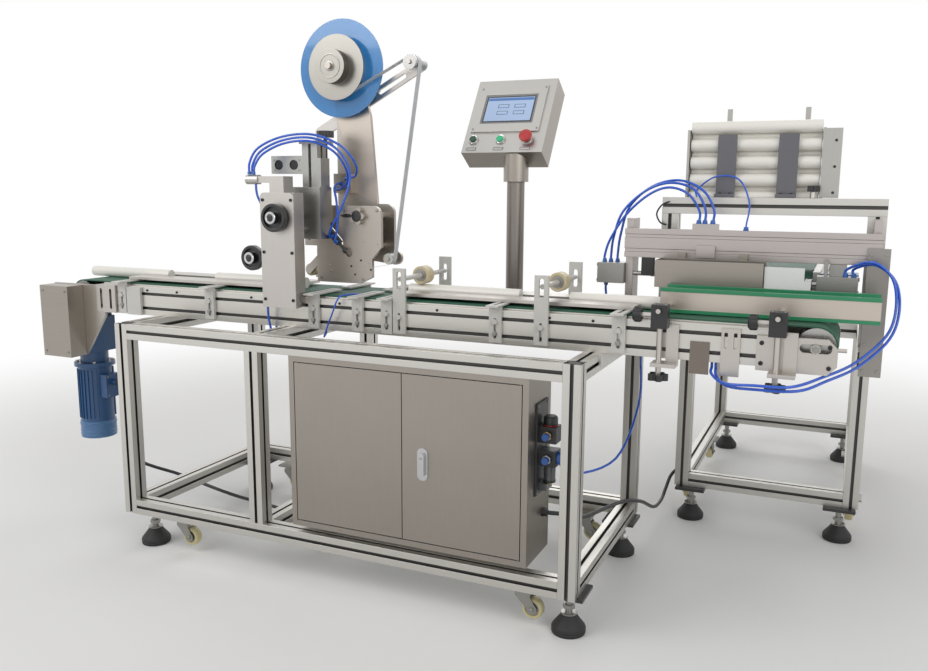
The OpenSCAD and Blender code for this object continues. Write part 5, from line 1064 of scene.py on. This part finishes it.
# Buttons: chrome rings round a lit green and a dark green cap, and a red mushroom with a dished top,
# each over a blank white plate.
button_xs = (28, 107.2, 184)
button_z = 41.1
ring_outline = [(14, 3.6), (14.4, 4.2), (14, 5.2), (12.6, 5.8), (11, 5.4), (10.4, 4.2)]
plate_half = 12.5
for number, x in enumerate(button_xs):
    panel_piece("button_blank_%d" % number, (x - plate_half, x + plate_half), (7.9, 13.7), 0.3, 1.6, 0.3,
                white_coat)
rings = [turned(ring_outline, on_slope(x, 0, button_z), screw_turn, 40) for x in button_xs]
finish(joined(rings), "button_rings", chrome, "console")
caps = {
    "stop_button": ("dark_green_plastic", (0.006, 0.07, 0.028), 0.0, 0.0012),
    "start_button": ("green_plastic", (0.02, 0.42, 0.18), 0.25, 0.0012),
    "estop_button": ("red_plastic", (0.5, 0.012, 0.014), 0.0, 0.003),
}
for node, (slot, colour, glow_strength, edge) in caps.items():
    paint = plain_paint(node + "_plastic", colour, 0.25, 120, 0.08, 0.00005, 0.5)
    if glow_strength:
        set_shader(paint, {"Emission Color": (*colour, 1), "Emission Strength": glow_strength})
    worked(node, paint, edge)
dish_outline = [(12, -0.6), (12, 0.15), (11, 0.5), (9, 0.5), (6, 0.1), (2, 0)]
dish = turned(dish_outline, on_slope(184, -22, button_z), screw_turn, 40)
finish(dish, "estop_dish_ring", paint, "estop")


# Hopper: slotted profiles and sheet sides hold a staggered stack of tubes behind two dark steel straps.
hopper = worked("hopper_frame", anodised, 0.0006)
strap_dark = metal_paint("dark_steel_strap", (0.15, 0.15, 0.162), 0.34, grain_z, 400, 0.1, 0.00005)
side_sheet = metal_paint("hopper_side_sheet", (0.43, 0.42, 0.395), 0.38, grain_z, 400, 0.06, 0.00005)
repaint(hopper, side_sheet, lambda c, n: c.z > 0.922 and c.y > 0.537)
repaint(hopper, strap_dark, lambda c, n: 0.512 < c.y < 0.5405 and c.z > 0.9572
        and (1.4405 < c.x < 1.4865 or 1.5805 < c.x < 1.6265))
repaint(hopper, cap_black, lambda c, n: 1.64 < c.x < 1.69 and 0.505 < c.y < 0.53 and c.z > 0.9715)
post_lines = {
    0: [(0.52, 0.937), (0.52, 0.712)],
    2: [(1.34, 0.52), (1.805, 0.52)],
}
repaint(hopper, slot_dark, lambda c, n: in_slot(c, post_lines, (1.32, 0.49, 0.62), (1.83, 0.55, 0.98)))
strap_screws = [(x, 525, 966.2) for x in (1452, 1475, 1592, 1615)]
screws("strap_screws", strap_screws, to_top, 3.4, 2.4, screw_black)
side_screws = [(1706, 538, z) for z in (970, 1030, 1090)]
screws("hopper_side_screws", side_screws, to_front, 3.2, 2.0, screw_black)


# Gantry: a flat slotted beam between a slotted left post and a right post, with a bright sheet panel at
# its end and a block of air ports on top. Strips close the beam's front slots.
gantry_metal = metal_paint("warm_anodised_beam", (0.47, 0.43, 0.41), 0.36, grain_x, 400, 0.06, 0.00005)
gantry = worked("gantry", gantry_metal, 0.0007)
end_sheet = metal_paint("gantry_end_sheet", (0.31, 0.292, 0.27), 0.38, grain_z, 400, 0.06, 0.00005)
repaint(gantry, end_sheet, lambda c, n: c.x > 1.788 and c.y < 0.4125)
repaint(gantry, slot_dark, lambda c, n: 0.4132 < c.y < 0.4308 and 0.8145 < c.z < 0.8805
        and 1.252 < c.x < 1.818)
cover_size = (0.569, 0.0016, 0.0076)
slot_covers = [bar(spot(1537, 414.1, z), cover_size, 0.0003) for z in (830.25, 864.75)]
finish(joined(slot_covers), "gantry_slot_covers", gantry_metal, "machine")


def fittings(name, outline, spots, body="machine"):
    """Blue push-in hose fittings as one piece, each at its place and facing its way."""
    shapes = [turned(outline, place, way, 20) for place, way in spots]
    return finish(joined(shapes), name, unit_blue, body)


port_outline = [(6.4, 0), (6.4, 3), (5.4, 4), (5.4, 8), (4.9, 8.8), (3.4, 8.8)]
port_spots = [((x, 422, 896), to_top) for x in (1423, 1437, 1455)] + [((1530, 424, 882), to_top)]
fittings("gantry_air_fittings", port_outline, port_spots)
panel_screws = [(x, 402, z) for x in (1797, 1827) for z in (580, 640, 838)]
screws("panel_screws", panel_screws, to_front, 3.6, 2.4, zinc)


# Feed tray, pusher and air cylinders: a bent stainless channel, a white plate on a ground rod, and square
# aluminium cylinders with tie screws.
worked("feed_tray", stainless_level, 0.0006)
cylinder_metal = metal_paint("extruded_cylinder", (0.33, 0.325, 0.31), 0.36, grain_x, 400, 0.07, 0.00005)
cylinders = worked("air_cylinders", cylinder_metal, 0.0012)
repaint(cylinders, cap_black, lambda c, n: 1.2925 < c.x < 1.3225 and c.y > 0.4115)
left_screws = [(1183, y, z) for y in (421, 459) for z in (753, 791)]
screws("left_cylinder_screws", left_screws, to_left, 3.6, 2.0, screw_black)
right_screws = [(1775, y, z) for y in (380, 410) for z in (753, 783)]
screws("right_cylinder_screws", right_screws, to_right, 3.2, 2.0, screw_black)
push_in_outline = [(5.8, 0), (5.8, 3), (5.0, 4), (5.0, 7.5), (4.5, 8.2), (3.3, 8.2)]
fittings("cylinder_air_fittings", push_in_outline,
         [((1195, 440, 797), to_top), ((1209, 447, 797), to_top), ((1225, 450, 797), to_top),
          ((1200, 440, 747), to_floor), ((1765, 395, 788), to_top), ((1748, 395, 788), to_top)])
block_white = plain_paint("white_plastic_block", (0.82, 0.82, 0.81), 0.4, 300, 0.05, 0.0001, 0.15)
pusher = worked("pusher_rod", block_white, 0.0008)
repaint(pusher, roller_steel, lambda c, n: c.x > 1.667)
worked("side_rod", roller_steel, 0.0005)


# Infeed conveyor: two slotted beams on legs carry the second green belt, with its drive box at the side.
infeed_metal = metal_paint("infeed_beam_sheet", (0.42, 0.41, 0.385), 0.38, grain_y, 400, 0.06, 0.00005)
infeed = worked("infeed_conveyor", infeed_metal, 0.0008)
repaint(infeed, fan_blue, lambda c, n: c.x > 1.6955 and 0.44 < c.y < 0.525 and c.z < 0.795)
worked("infeed_drive_roller", roller_steel, 0.0005)
beam_screws = [(1425, y, 762) for y in (500, 700, 900, 1100, 1300, 1500)]
screws("infeed_beam_screws", beam_screws, to_left, 3.4, 2.2, screw_black)


# Ends of the head's air hoses: blue push-in fittings in the head's plates, and the three stubs on the
# tower that the hoses leave.
elbow_outline = [(5.6, 0), (5.6, 3), (4.9, 4), (4.9, 7.5), (4.4, 8.2), (3.3, 8.2)]
elbow_places = ((530, 283, 985), (532, 231, 851), (544, 231, 838), (546, 283, 998), (518, 283, 972))
fittings("head_air_fittings", elbow_outline, [(place, to_front) for place in elbow_places], "head")
stub_outline = [(4.6, 0), (4.6, 6), (4.0, 7.4), (3.3, 7.4)]
stub_spots = [((x, y, 1006.5), to_top) for x, y in ((356, 126), (362, 130), (368, 128))]
fittings("hose_stub_fittings", stub_outline, stub_spots)
